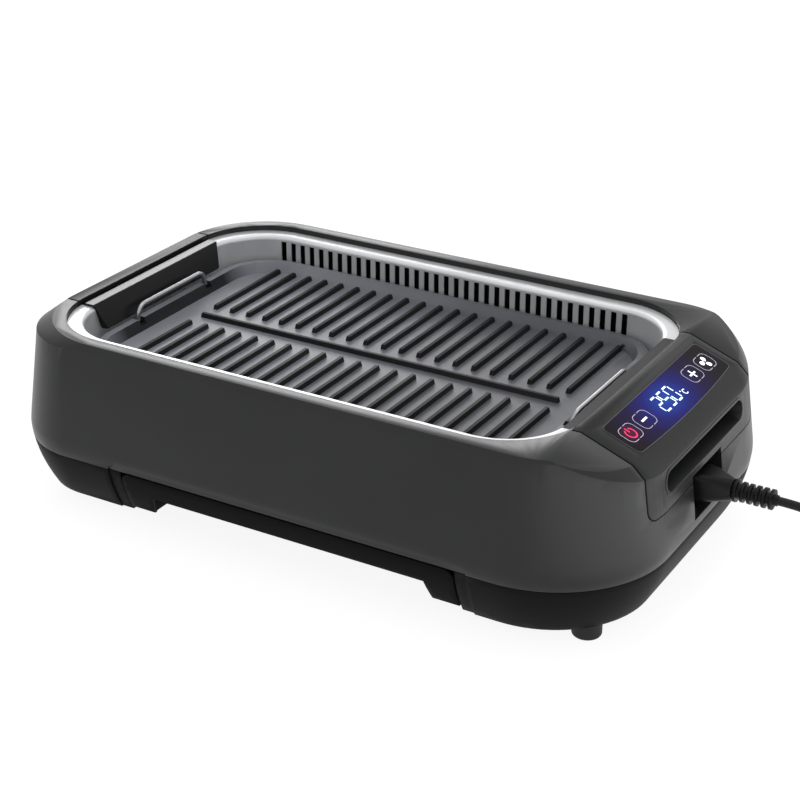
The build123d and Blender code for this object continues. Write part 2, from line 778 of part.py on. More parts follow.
def handle(end):
    """Bent wire with a pin at each foot, lying in the plate's bearings."""
    x = handle_pivot_x(end)
    half, pin = handle_half_width, handle_pin_length
    low, high = handle_pivot_level, handle_pivot_level + handle_height
    path = FilletPolyline((x, -half - pin, low), (x, -half, low), (x, -half, high), (x, half, high),
                          (x, half, low), (x, half + pin, low),
                          radius=[2.6, handle_bend, handle_bend, 2.6])
    bar = sweep(Plane(origin=path @ 0, z_dir=path % 0) * Circle(wire / 2), path=path)
    if end < 0:
        return bar
    pivot = Pos(x, 0, low)
    return pivot * Rot(0, right_handle_lean, 0) * pivot.inverse() * bar


def heating_element():
    """Tubular element folded into loops under the plate, both ends at the right."""
    gap, wide, narrow = element_half_gap, element_half_width, element_inner_half
    half = [(terminal_end_x, gap), (element_right, gap), (element_right, wide), (element_left, wide),
            (element_left, narrow), (element_return, narrow)]
    points = [(x, -y, element_level) for x, y in half] + [(x, y, element_level) for x, y in reversed(half)]
    path = FilletPolyline(*points, radius=element_bend)
    return sweep(Plane(origin=path @ 0, z_dir=path % 0) * Circle(element_diameter / 2), path=path)


def element_supports():
    """Pierced strips across the well that hold the element."""
    strips = []
    top = element_level + element_diameter / 2 + 1
    low = floor_of_well + seat_gap
    window_y = (element_inner_half + element_half_width) / 2
    for x in support_places:
        strip = block(x - 0.75, x + 0.75, -support_half_length, support_half_length, low, top)
        for y in (-element_half_width, -element_inner_half, element_inner_half, element_half_width):
            seat = Pos(x, y, element_level) * Rot(0, 90, 0) * Cylinder(element_diameter / 2 + seat_gap, 4)
            entry = block(x - 2, x + 2, y - element_diameter / 2 - seat_gap, y + element_diameter / 2 + seat_gap,
                          element_level, top + 1)
            strip = strip - seat - entry
        for y in (-window_y, 0.0, window_y):
            strip = strip - Pos(x, y, (low + element_level) / 2 - 1) * Box(4, 38, 16)
        strips.append(strip)
    return Compound(strips)


def terminal_block():
    """Ceramic block on the well's wall that the element's ends pass through."""
    face = well_right - ledge_width + sheet
    body = block(face + seat_gap, face + 17, -element_half_gap - 10, element_half_gap + 10,
                 element_level - 8.5, ledge_level - sheet - 2.4)
    for side in (-1, 1):
        bore = Pos(face + 8, side * element_half_gap, element_level) * Rot(0, 90, 0) * Cylinder(
            element_diameter / 2 + seat_gap, 30)
        body = body - bore
    return body


def temperature_probe():
    """Probe that stands on the well's floor strip and meets the plate's underside."""
    x, y = plate_centre_x, 0.0
    low = floor_of_well + seat_gap
    top = ledge_level
    near = drip_opening_back + 1.5
    foot = block(x - 8, x + 8, near, near + 18.5, low, low + 1.2)
    arm = block(x - 4, x + 4, near, near + 1.2, low, 100)
    shelf = block(x - 4, x + 4, -5, near + 1.2, 98.8, 100)
    stem = upright(x, y, 98, top, 2.5)
    head = upright(x, y, top - 5, top, 5)
    return foot + arm + shelf + stem + head


def drawer_profile(inset):
    """Front view of the drawer's face: rounded above, a tab down at each end."""
    w, t = drawer_half_width - inset, drawer_tab_half_width
    r = drawer_corner
    edges = [
        Line((-w, drawer_tab_bottom), (-w, drawer_top - r)),
        CenterArc((-w + r, drawer_top - r), r, 90, 90),
        Line((-w + r, drawer_top), (w - r, drawer_top)),
        CenterArc((w - r, drawer_top - r), r, 0, 90),
        Line((w, drawer_top - r), (w, drawer_tab_bottom)),
        Line((w, drawer_tab_bottom), (t + 4, drawer_tab_bottom)),
        Line((t + 4, drawer_tab_bottom), (t, drawer_lip)),
        Line((t, drawer_lip), (-t, drawer_lip)),
        Line((-t, drawer_lip), (-t - 4, drawer_tab_bottom)),
        Line((-t - 4, drawer_tab_bottom), (-w, drawer_tab_bottom)),
    ]
    return Plane.XZ * Face(Wire(edges))


def drawer_front():
    """Drawer's face, following the belly, with webs back to the bin."""
    shape = belly(drawer_front_inset)
    hollow = belly(drawer_front_inset + drawer_skin)
    face = (shape - hollow) & extrude(drawer_profile(0), amount=housing_half_width + 10, dir=(0, -1, 0))
    back = bin_front - 0.2
    webs = block(-drawer_half_width + 1, drawer_half_width - 1, -beyond_y, back, bin_top - 3.2,
                 bin_top - bin_wall - 0.2)
    for side in (-1, 1):
        for x in (drawer_tab_half_width + 4, drawer_half_width - 2.6):
            webs = webs + block(*sorted((side * x, side * (x + 1.8))), -beyond_y, back, drawer_tab_bottom + 1,
                                bin_top - 3)
    return face + (webs & belly(drawer_front_inset + 1.2))


def drip_bin():
    """Drip bin behind the drawer's face, with a rim and a rounded floor."""
    half_depth = (bin_back - bin_front) / 2
    low = floor_level + rail_height + seat_gap
    place = Pos(0, (bin_back + bin_front) / 2, 0)
    body = extrude(plan(-bin_half_width, bin_half_width, half_depth, bin_radius, bin_radius, low),
                   amount=bin_top - low)
    body = fillet(body.edges().group_by(Axis.Z)[0], 4)
    radius = bin_radius - bin_wall
    hollow = extrude(plan(-bin_half_width + bin_wall, bin_half_width - bin_wall, half_depth - bin_wall,
                          radius, radius, low + bin_wall), amount=bin_top)
    hollow = fillet(hollow.edges().group_by(Axis.Z)[0], 3)
    rim = extrude(plan(-bin_half_width - bin_rim, bin_half_width + bin_rim, half_depth + bin_rim,
                       bin_radius + bin_rim, bin_radius + bin_rim, bin_top - bin_wall), amount=bin_wall)
    return place * (body + rim - hollow)


def fan_wheel():
    """Centrifugal wheel: back plate, hub, curved blades and a shroud ring."""
    low = fan_low + scroll_wall + 2.6
    plate = upright(0, 0, low, low + 1.4, wheel_radius)
    hub = upright(0, 0, low, low + 13, 6.0) - upright(0, 0, 0, 80, shaft_diameter / 2)
    wheel = plate + hub - upright(0, 0, 0, 80, shaft_diameter / 2)
    inner_end, outer_end = wheel_eye_radius, wheel_radius - 0.4
    turn = math.radians(blade_lean)
    tip = Vector(outer_end * math.cos(turn), outer_end * math.sin(turn))
    root = Vector(inner_end, 0)
    along_blade = (tip - root).normalized()
    across_blade = Vector(-along_blade.Y, along_blade.X)
    bulge = 3.2
    middle = (tip + root) * 0.5
    half = across_blade * (blade_thickness / 2)
    front = ThreePointArc(root - half, middle - half - across_blade * bulge, tip - half)
    back = ThreePointArc(root + half, middle + half - across_blade * bulge, tip + half)
    section = Face(Wire([front, Line(front @ 1, back @ 1), back, Line(back @ 0, front @ 0)]))
    blade = extrude(Pos(0, 0, low + 1.0) * section, amount=wheel_height)
    blades = [Rot(0, 0, 360 * i / blade_count) * blade for i in range(blade_count)]
    shroud = upright(0, 0, low + wheel_height, low + wheel_height + 1.4, wheel_radius) - upright(
        0, 0, low, low + 40, wheel_eye_radius + 1.5)
    wheel = wheel + blades + shroud
    return Pos(fan_x, fan_y, 0) * wheel


fan_low = floor_level + seat_gap
fan_high = fan_low + scroll_height
bracket_low = fan_high + 2.4
motor_low = bracket_low + bracket_thickness + seat_gap
board_x = recess_back_x - 26
board_half_width = 60.0
board_bottom = 42.0
board_top = 96.0


def scroll_face(inset):
    """Outline of the fan's scroll: three quarter arcs that widen into a duct towards the back."""
    r3 = scroll_radius - inset
    r2 = scroll_radius - scroll_step - inset
    r1 = scroll_radius - 2 * scroll_step - inset
    edges = [
        CenterArc((-scroll_step, -scroll_step), r1, 90, 90),
        CenterArc((0, -scroll_step), r2, 180, 90),
        CenterArc((0, 0), r3, 270, 90),
    ]
    nose = (-scroll_step, -scroll_step + r1)
    duct_left = 8.0 + inset
    far = duct_end_y - fan_y
    edges += [
        Line((r3, 0), (r3, far)),
        Line((r3, far), (duct_left, far)),
        Line((duct_left, far), (duct_left, r1 + 4)),
        Line((duct_left, r1 + 4), nose),
    ]
    return Face(Wire(edges))


def fan_scroll():
    """Scroll housing with its inlet eye, outlet duct and three motor studs."""
    body = extrude(Pos(0, 0, fan_low) * scroll_face(0), amount=scroll_height)
    hollow = extrude(Pos(0, 0, fan_low + scroll_wall) * scroll_face(scroll_wall),
                     amount=scroll_height - 2 * scroll_wall)
    exit_gap = block(8.0 + scroll_wall, scroll_radius - scroll_wall, 50, duct_end_y - fan_y + 1,
                     fan_low + scroll_wall, fan_high - scroll_wall)
    eye = upright(0, 0, fan_high - 5, fan_high + 5, inlet_eye_radius)
    body = body - hollow - exit_gap - eye
    for angle in (90, 210, 330):
        stud = Rot(0, 0, angle) * upright(inlet_eye_radius + 6, 0, fan_high - 1, bracket_low - seat_gap, 3.5)
        body = body + stud
    return Pos(fan_x, fan_y, 0) * body


def motor_bracket():
    """Flat three-armed plate over the inlet eye that carries the motor."""
    top = bracket_low + bracket_thickness
    plate = upright(0, 0, bracket_low, top, motor_diameter / 2 - 2)
    for angle in (90, 210, 330):
        arm = block(0, inlet_eye_radius + 6, -4, 4, bracket_low, top)
        plate = plate + Rot(0, 0, angle) * (arm + upright(inlet_eye_radius + 6, 0, bracket_low, top, 4))
    return Pos(fan_x, fan_y, 0) * (plate - upright(0, 0, 0, 90, 4.5))


def fan_motor():
    """Round motor can with a stepped cap and a bearing boss."""
    can = upright(0, 0, motor_low, motor_low + motor_height, motor_diameter / 2)
    can = fillet(can.edges().group_by(Axis.Z)[-1], 1.5)
    boss = upright(0, 0, motor_low - 1.5, motor_low + 1, 4.2)
    bore = upright(0, 0, motor_low - 3, motor_low + motor_height - 4, shaft_diameter / 2 + running_gap)
    tabs = block(-2.5, 2.5, motor_diameter / 2 - 1, motor_diameter / 2 + 3, motor_low + 4, motor_low + 6)
    return Pos(fan_x, fan_y, 0) * (can + boss + tabs + Rot(0, 0, 180) * tabs - bore)


def foot(sx, sy):
    """Foot with rounded sole, plugged through the base."""
    shank = upright(sx * foot_x, sy * foot_y, 0, base_level - seat_gap, foot_diameter / 2)
    shank = fillet(shank.edges().group_by(Axis.Z)[0], 2.6)
    spigot = upright(sx * foot_x, sy * foot_y, base_level - 2, floor_level + 4, foot_spigot / 2)
    return shank + spigot


def power_board():
    """Upright power board with its relay, transformer and capacitors on the inner side."""
    board = block(board_x - board_thickness / 2, board_x + board_thickness / 2, -board_half_width,
                  board_half_width, board_bottom, board_top)
    face = board_x - board_thickness / 2
    relay = block(face - 15, face + 0.5, -48, -28, 60, 78)
    transformer = block(face - 17, face + 0.5, -14, 12, 54, 80)
    block_terminals = block(face - 9, face + 0.5, 22, 50, 80, 92)
    capacitor = Pos(face - 9, 34, 62) * Rot(0, 90, 0) * Cylinder(7, 18.5)
    return board + relay + transformer + block_terminals + capacitor


def inlet_socket():
    """Appliance inlet, a shroud open towards the connector."""
    x0 = recess_back_x - socket_depth
    body = block(x0, recess_back_x, -socket_width / 2, socket_width / 2, inlet_level - socket_height / 2,
                 inlet_level + socket_height / 2)
    flange = block(recess_back_x + seat_gap, recess_back_x + 2, -socket_width / 2 - 2, socket_width / 2 + 2,
                   inlet_level - socket_height / 2 - 2, inlet_level + socket_height / 2 + 2)
    neck = block(recess_back_x - 1, recess_back_x + 1, -socket_width / 2, socket_width / 2,
                 inlet_level - socket_height / 2, inlet_level + socket_height / 2)
    mouth_x = recess_back_x + 2
    cavity = block(mouth_x - cavity_depth, mouth_x + 1, -cavity_width / 2, cavity_width / 2,
                   inlet_level - cavity_height / 2, inlet_level + cavity_height / 2)
    body = body + flange + neck - cavity
    for y, z in pin_places():
        body = body - Pos(mouth_x - cavity_depth - 4, y, z) * Box(14, pin_thickness, pin_width)
    return body


def pin_places():
    """Places of the three inlet pins in the Y and Z plane."""
    return [(-pin_pitch, inlet_level - 2), (pin_pitch, inlet_level - 2), (0.0, inlet_level + 2)]


def inlet_pins():
    """Three flat pins that stand in the inlet's floor."""
    floor = recess_back_x + 2 - cavity_depth
    length = pin_reach + 8
    return Compound([Pos(floor + pin_reach - length / 2, y, z) * Box(length, pin_thickness, pin_width)
                     for y, z in pin_places()])


def power_connector():
    """Connector in the inlet: nose, tapered body and a ribbed strain relief."""
    mouth_x = recess_back_x + 2
    front = mouth_x + part_gap
    nose = block(front - nose_length, front + 1, -cavity_width / 2 + part_gap, cavity_width / 2 - part_gap,
                 inlet_level - cavity_height / 2 + part_gap, inlet_level + cavity_height / 2 - part_gap)
    for y, z in pin_places():
        nose = nose - Pos(front - nose_length, y, z) * Box(26, pin_thickness + 0.4, pin_width + 0.4)
    sections = [(front, 15.0, 12.0, 4.0), (front + 14, 15.0, 12.0, 4.0), (front + 30, 11.5, 10.5, 5.0),
                (connector_back_x, 8.6, 8.6, 8.5)]
    faces = [Plane(origin=(x, 0, inlet_level), x_dir=(0, 1, 0), z_dir=(1, 0, 0))
             * RectangleRounded(2 * w, 2 * h, r) for x, w, h, r in sections]
    body = loft(faces, ruled=True)
    relief = Pos(connector_back_x + relief_length / 2, 0, inlet_level) * Rot(0, 90, 0) * Cone(
        relief_core / 2 + 0.8, relief_core / 2 - 1.2, relief_length)
    relief = relief + [
        Pos(connector_back_x + 2.5 + ring_pitch * i, 0, inlet_level) * Rot(0, 90, 0)
        * Cylinder(ring_diameter / 2 + (1.0 if i == 0 else 0.0), ring_width)
        for i in range(relief_rings)
    ]
    return nose + body + relief


def lead_radii(points):
    """Largest tangent arc that each corner of the lead's route leaves room for."""
    radii = []
    for a, b, c in zip(points, points[1:], points[2:]):
        before, after = b - a, c - b
        turn = math.radians(before.get_angle(after))
        radii.append(0.45 * min(before.length, after.length) / math.tan(turn / 2))
    return radii


def lead_stretch():
    """Free stretch of the lead from the connector down to the coil."""
    points = [Vector(*p) for p in lead_points]
    radii = lead_radii(points)
    path = FilletPolyline(*points, radius=radii)
    tube = sweep(Plane(origin=path @ 0, z_dir=path % 0) * Circle(lead_diameter / 2), path=path)
    expected = math.pi * lead_diameter**2 / 4 * path.length
    print("lead radii", [round(r) for r in radii], "length", round(path.length, 1),
          "volume ratio", round(tube.volume / expected, 4))
    return tube


def coil_halves():
    """Half turns of the coil as (start, middle, end): spiral in, climb a layer, spiral out."""
    radii = [coil_outer_radius - k * coil_pitch / 2 for k in range(coil_half_turns_below + 1)]
    radii += [radii[-1] + (k + 1) * coil_pitch / 2 for k in range(coil_half_turns_above)]
    x, y, _ = lead_points[-1]
    y += coil_straight
    level = lead_level
    side = 1
    halves = []
    for k, radius in enumerate(radii):
        rise = coil_layer if k == coil_half_turns_below else 0.0
        start = Vector(x, y, level)
        middle = Vector(x - side * radius, y + side * radius, level + rise / 2)
        end = Vector(x - side * 2 * radius, y, level + rise)
        halves.append((start, middle, end))
        x, level, side = end.X, end.Z, -side
    return halves


def coil_gap(halves):
    """Least gap between turns of the coil, measured on points along the arcs."""
    points = []
    travel = 0.0
    for start, middle, end in halves:
        arc = ThreePointArc(start, middle, end)
        count = int(arc.length / 2)
        for i in range(count):
            points.append((travel + arc.length * i / count, arc @ (i / count)))
        travel += arc.length
    least = min((p - q).length for s, p in points for t, q in points if t > s + 4 * lead_diameter)
    return least - lead_diameter


def lead_coil():
    """Put-away length of the lead, one unbroken tube."""
    halves = coil_halves()
    first, last = halves[0][0], halves[-1][2]
    heading = 1 if len(halves) % 2 == 0 else -1
    edges = [Line(first - (0, coil_straight, 0), first)]
    edges += [ThreePointArc(*half) for half in halves]
    edges.append(Line(last, last + (0, heading * coil_straight, 0)))
    path = Wire(edges)
    tube = sweep(Plane(origin=path @ 0, z_dir=path % 0) * Circle(lead_diameter / 2), path=path)
    expected = math.pi * lead_diameter**2 / 4 * path.length
    print("coil length", round(path.length, 1), "least gap", round(coil_gap(halves), 2),
          "volume ratio", round(tube.volume / expected, 4))
    return tube


def mains_plug():
    """Moulded plug lying beside the coil, with a tapered relief and three prongs."""
    last = coil_halves()[-1][2]
    y0 = last.Y + coil_straight
    relief = Pos(last.X, y0 + plug_relief_length / 2, last.Z) * Rot(-90, 0, 0) * Cone(
        lead_diameter / 2 + 0.4, plug_relief_diameter / 2, plug_relief_length)
    front = y0 + plug_relief_length
    body = extrude(Plane(origin=(last.X, front - 1, last.Z), x_dir=(1, 0, 0), z_dir=(0, 1, 0))
                   * RectangleRounded(plug_width, plug_height, 7), amount=plug_length)
    body = chamfer(body.edges().group_by(Axis.Y)[0], 3)
    face = front - 1 + plug_length
    prongs = [Pos(last.X + dx, face + blade_reach / 2 - 1, last.Z + 3) * Box(1.6, blade_reach + 2, 6.4)
              for dx in (-6.35, 6.35)]
    pin = Pos(last.X, face + blade_reach / 2, last.Z - 6) * Rot(90, 0, 0) * Cylinder(2.4, blade_reach + 2)
    return relief + body + prongs + pin


def base_screws():
    """Screws that pull the base up to the housing."""
    screws = []
    for sx in (-1, 1):
        for sy in (-1, 1):
            head = upright(sx * post_x, sy * post_y, screw_seat - seat_gap - screw_head_height,
                           screw_seat - seat_gap, screw_head / 2)
            shank = upright(sx * post_x, sy * post_y, screw_seat - 1, screw_top, screw_diameter / 2)
            screws.append(head + shank)
    return Compound(screws)


def build():
    """Make and save every piece."""
    save(upper_housing(), "upper_housing")
    save(base_tub(), "base_tub")
    save(right_saddle(), "right_saddle")
    save(saddle_shell(-1), "left_saddle")
    save(left_guard(), "left_guard")
    save(right_guard(), "right_guard")
    save(well(), "steel_well")
    save(grill_plate(), "grill_plate")
    save(handle(-1), "left_handle")
    save(handle(1), "right_handle")
    save(heating_element(), "heating_element")
    save(element_supports(), "element_supports")
    save(terminal_block(), "terminal_block")
    save(temperature_probe(), "temperature_probe")
    save(drawer_front(), "drawer_front")
    save(drip_bin(), "drip_bin")
    save(fan_wheel(), "fan_wheel")
    save(fan_scroll(), "fan_scroll")
    save(motor_bracket(), "motor_bracket")
    save(fan_motor(), "fan_motor")
    shaft_low = fan_low + scroll_wall + 2.8
    save(upright(fan_x, fan_y, shaft_low, motor_low + 12, shaft_diameter / 2), "fan_shaft")
    control_parts()
    save(power_board(), "power_board")
    save(inlet_socket(), "inlet_socket")
    save(inlet_pins(), "inlet_pins")
    save(power_connector(), "power_connector")
    save(lead_stretch(), "lead_stretch")
    save(lead_coil(), "lead_coil")
    save(mains_plug(), "mains_plug")
    save(base_screws(), "base_screws")
    for sx, name_x in ((-1, "left"), (1, "right")):
        for sy, name_y in ((-1, "front"), (1, "back")):
            save(foot(sx, sy), f"foot_{name_y}_{name_x}")


build()
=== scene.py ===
import math
import bmesh
import bpy
import numpy as np
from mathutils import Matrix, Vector


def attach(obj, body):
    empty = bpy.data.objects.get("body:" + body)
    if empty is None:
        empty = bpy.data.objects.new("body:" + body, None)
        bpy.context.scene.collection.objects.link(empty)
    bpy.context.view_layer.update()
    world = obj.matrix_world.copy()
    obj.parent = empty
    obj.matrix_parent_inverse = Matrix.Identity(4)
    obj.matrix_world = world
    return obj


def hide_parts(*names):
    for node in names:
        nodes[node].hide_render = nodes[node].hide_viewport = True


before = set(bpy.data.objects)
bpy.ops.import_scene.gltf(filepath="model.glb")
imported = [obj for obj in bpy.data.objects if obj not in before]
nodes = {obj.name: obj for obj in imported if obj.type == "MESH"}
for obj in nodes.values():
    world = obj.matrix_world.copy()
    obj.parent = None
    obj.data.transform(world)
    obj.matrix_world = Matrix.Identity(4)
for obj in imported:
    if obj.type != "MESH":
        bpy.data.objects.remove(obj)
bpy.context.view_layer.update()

mm = 0.001

print("grill: camera, floor and lights")

camSettings = {
    "place": (0.6885, -1.1643, 0.7294),
    "turn": (64.461, 0.0, 30.331),  # degrees
    "lens": 81.67,
    "sensor": 36,
}
camData = bpy.data.cameras.new("photoCamera")
camData.lens = camSettings["lens"]
camData.sensor_width = camSettings["sensor"]
photoCamera = bpy.data.objects.new("photoCamera", camData)
photoCamera.location = camSettings["place"]
photoCamera.rotation_euler = [math.radians(a) for a in camSettings["turn"]]
bpy.context.scene.collection.objects.link(photoCamera)
bpy.context.scene.camera = photoCamera
bpy.context.scene.view_settings.view_transform = "Standard"


def meshObject(name, points, faces, material, body="housing"):
    # new flat-shaded piece: rows of (x, y, z) points in metres and, for each face, the numbers of its corners
    data = bpy.data.meshes.new(name)
    data.from_pydata(np.asarray(points, float).tolist(), [], [list(face) for face in faces])
    data.validate()
    data.materials.append(material)
    piece = bpy.data.objects.new(name, data)
    bpy.context.scene.collection.objects.link(piece)
    if body:
        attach(piece, body)
    return piece


def prismFaces(count):
    # two outlines of count corners, the first one turned over, joined by a four-cornered side at each edge
    faces = [range(count)[::-1], range(count, 2 * count)]
    faces += [(i, (i + 1) % count, count + (i + 1) % count, count + i) for i in range(count)]
    return faces


def softLight(name, place, target, size, power):
    # rectangular lamp at a place, turned so that its light goes along target - place
    data = bpy.data.lights.new(name, "AREA")
    data.shape = "RECTANGLE"
    data.size, data.size_y = size
    data.energy = power
    lamp = bpy.data.objects.new(name, data)
    lamp.location = place
    lamp.rotation_euler = (Vector(target) - Vector(place)).to_track_quat("-Z", "Y").to_euler()
    bpy.context.scene.collection.objects.link(lamp)


lampTarget = (0, 0, 0.1)
lampSettings = {
    "back": {"place": (-1.44, 1.76, 0.98), "size": (1.2, 0.8), "power": 16},
    "top": {"place": (0.0, 0.2, 2.4), "size": (2.2, 1.6), "power": 8},
}
for lampName, lampValues in lampSettings.items():
    softLight(lampName + "Softbox", lampValues["place"], lampTarget, lampValues["size"], lampValues["power"])

worldStrength = 1.0
world = bpy.data.worlds.new("studio")
world.use_nodes = True
world.node_tree.nodes["Background"].inputs["Color"].default_value = (1, 1, 1, 1)
world.node_tree.nodes["Background"].inputs["Strength"].default_value = worldStrength
bpy.context.scene.world = world


# materials: each recipe works on Object coordinates, in metres

def newFinish(name, colour, roughness, metallic=0.0, specular=0.5):
    # one even colour and gloss, handed back with its node tree, its shader and its coordinates
    finish = bpy.data.materials.new(name)
    finish.use_nodes = True
    tree = finish.node_tree
    shader = tree.nodes["Principled BSDF"]
    shader.inputs["Base Color"].default_value = (*colour, 1)
    shader.inputs["Roughness"].default_value = roughness
    shader.inputs["Metallic"].default_value = metallic
    shader.inputs["Specular IOR Level"].default_value = specular
    place = tree.nodes.new("ShaderNodeTexCoord")
    return finish, tree, shader, place


def stretched(tree, place, scale):
    # each coordinate times its own scale
    mapping = tree.nodes.new("ShaderNodeMapping")
    mapping.inputs["Scale"].default_value = scale
    tree.links.new(place.outputs["Object"], mapping.inputs["Vector"])
    return mapping.outputs["Vector"]


def noiseOn(tree, vector, scale, detail=3.0, rough=0.55):
    # noise from 0 to 1, with scale waves to a metre and finer octaves on them
    noise = tree.nodes.new("ShaderNodeTexNoise")
    noise.inputs["Scale"].default_value = scale
    noise.inputs["Detail"].default_value = detail
    noise.inputs["Roughness"].default_value = rough
    tree.links.new(vector, noise.inputs["Vector"])
    return noise.outputs["Fac"]


def rangeOf(tree, value, low, high):
    # low + (high - low) * (value - 0.25) / 0.5, held between low and high
    spread = tree.nodes.new("ShaderNodeMapRange")
    spread.inputs["From Min"].default_value = 0.25
    spread.inputs["From Max"].default_value = 0.75
    spread.inputs["To Min"].default_value = low
    spread.inputs["To Max"].default_value = high
    tree.links.new(value, spread.inputs["Value"])
    return spread.outputs["Result"]


def tintOf(tree, value, dark, light):
    # dark where value is under 0.3, light where it is over 0.7, and an even mix between
    ramp = tree.nodes.new("ShaderNodeValToRGB")
    ramp.color_ramp.elements[0].position = 0.3
    ramp.color_ramp.elements[0].color = (*dark, 1)
    ramp.color_ramp.elements[1].position = 0.7
    ramp.color_ramp.elements[1].color = (*light, 1)
    tree.links.new(value, ramp.inputs["Fac"])
    return ramp.outputs["Color"]


def bumpOf(tree, shader, value, strength, distance):
    # surface raised by value * distance, in its shading only
    bump = tree.nodes.new("ShaderNodeBump")
    bump.inputs["Strength"].default_value = strength
    bump.inputs["Distance"].default_value = distance
    tree.links.new(value, bump.inputs["Height"])
    tree.links.new(bump.outputs["Normal"], shader.inputs["Normal"])


def mouldedPlastic(name, colour, roughness, grain=2600, grainHeight=0.00003, spread=0.12, specular=0.5):
    # colour * (1 - spread to 1 + spread) in broad clouds, roughness * (0.88 to 1.12) and a bump in fine grain
    finish, tree, shader, place = newFinish(name, colour, roughness, 0.0, specular)
    cloud = noiseOn(tree, place.outputs["Object"], 14, 4)
    fine = noiseOn(tree, place.outputs["Object"], grain, 2)
    dark = [c * (1 - spread) for c in colour]
    light = [c * (1 + spread) for c in colour]
    tree.links.new(tintOf(tree, cloud, dark, light), shader.inputs["Base Color"])
    tree.links.new(rangeOf(tree, fine, roughness * 0.88, roughness * 1.12), shader.inputs["Roughness"])
    bumpOf(tree, shader, fine, 0.35, grainHeight)
    return finish


def brushedSteel(name, colour, roughness, along=(6, 6, 2200), depth=0.000012, metallic=1.0):
    # colour * (0.9 to 1.06) in smudges, roughness * (0.85 to 1.15) and a bump in lines of stretched noise
    finish, tree, shader, place = newFinish(name, colour, roughness, metallic)
    lines = noiseOn(tree, stretched(tree, place, along), 1.0, 4)
    smudge = noiseOn(tree, place.outputs["Object"], 18, 3)
    dark = [c * 0.9 for c in colour]
    light = [min(c * 1.06, 1) for c in colour]
    tree.links.new(tintOf(tree, smudge, dark, light), shader.inputs["Base Color"])
    tree.links.new(rangeOf(tree, lines, roughness * 0.85, roughness * 1.15), shader.inputs["Roughness"])
    bumpOf(tree, shader, lines, 0.12, depth)
    return finish


def paintedLightAndShade(name, firstColour, lastColour, ends, roughness, specular, axis="X"):
    # colour that stands in for painted light and shade: it runs evenly from the first end to the last on the
    # axis, times (0.85 to 1.15) in clouds; on Y the place is the distance from the middle, the same on both
    # sides
    finish, tree, shader, place = newFinish(name, firstColour, roughness, 0.0, specular)
    split = tree.nodes.new("ShaderNodeSeparateXYZ")
    along = tree.nodes.new("ShaderNodeMapRange")
    along.inputs["From Min"].default_value, along.inputs["From Max"].default_value = ends
    tree.links.new(place.outputs["Object"], split.inputs["Vector"])
    level = split.outputs[axis]
    if axis == "Y":
        distance = tree.nodes.new("ShaderNodeMath")
        distance.operation = "ABSOLUTE"
        tree.links.new(level, distance.inputs[0])
        level = distance.outputs["Value"]
    tree.links.new(level, along.inputs["Value"])
    paintedLightRamp = tree.nodes.new("ShaderNodeValToRGB")
    paintedLightRamp.color_ramp.elements[0].color = (*firstColour, 1)
    paintedLightRamp.color_ramp.elements[1].color = (*lastColour, 1)
    tree.links.new(along.outputs["Result"], paintedLightRamp.inputs["Fac"])
    cloud = rangeOf(tree, noiseOn(tree, place.outputs["Object"], 22, 4), 0.85, 1.15)
    scaled = tree.nodes.new("ShaderNodeVectorMath")
    scaled.operation = "SCALE"
    tree.links.new(paintedLightRamp.outputs["Color"], scaled.inputs[0])
    tree.links.new(cloud, scaled.inputs["Scale"])
    tree.links.new(scaled.outputs["Vector"], shader.inputs["Base Color"])
    pebble = noiseOn(tree, place.outputs["Object"], 2400, 3, 0.7)
    tree.links.new(rangeOf(tree, pebble, roughness * 0.85, roughness * 1.18), shader.inputs["Roughness"])
    bumpOf(tree, shader, pebble, 0.5, 0.00005)
    return finish


def paintedShadeRibCasting(name, colour, roughness, speck, specular):
    # dark colour that stands in for painted shade, * (0.8 to 1.25) in clouds, roughness * (0.82 to 1.2) and a
    # bump in specks
    finish, tree, shader, place = newFinish(name, colour, roughness, 0.0, specular)
    pebble = noiseOn(tree, place.outputs["Object"], speck, 3, 0.7)
    cloud = noiseOn(tree, place.outputs["Object"], 22, 4)
    dark = [c * 0.8 for c in colour]
    light = [c * 1.25 for c in colour]
    tree.links.new(tintOf(tree, cloud, dark, light), shader.inputs["Base Color"])
    tree.links.new(rangeOf(tree, pebble, roughness * 0.82, roughness * 1.2), shader.inputs["Roughness"])
    bumpOf(tree, shader, pebble, 0.5, 0.00005)
    return finish


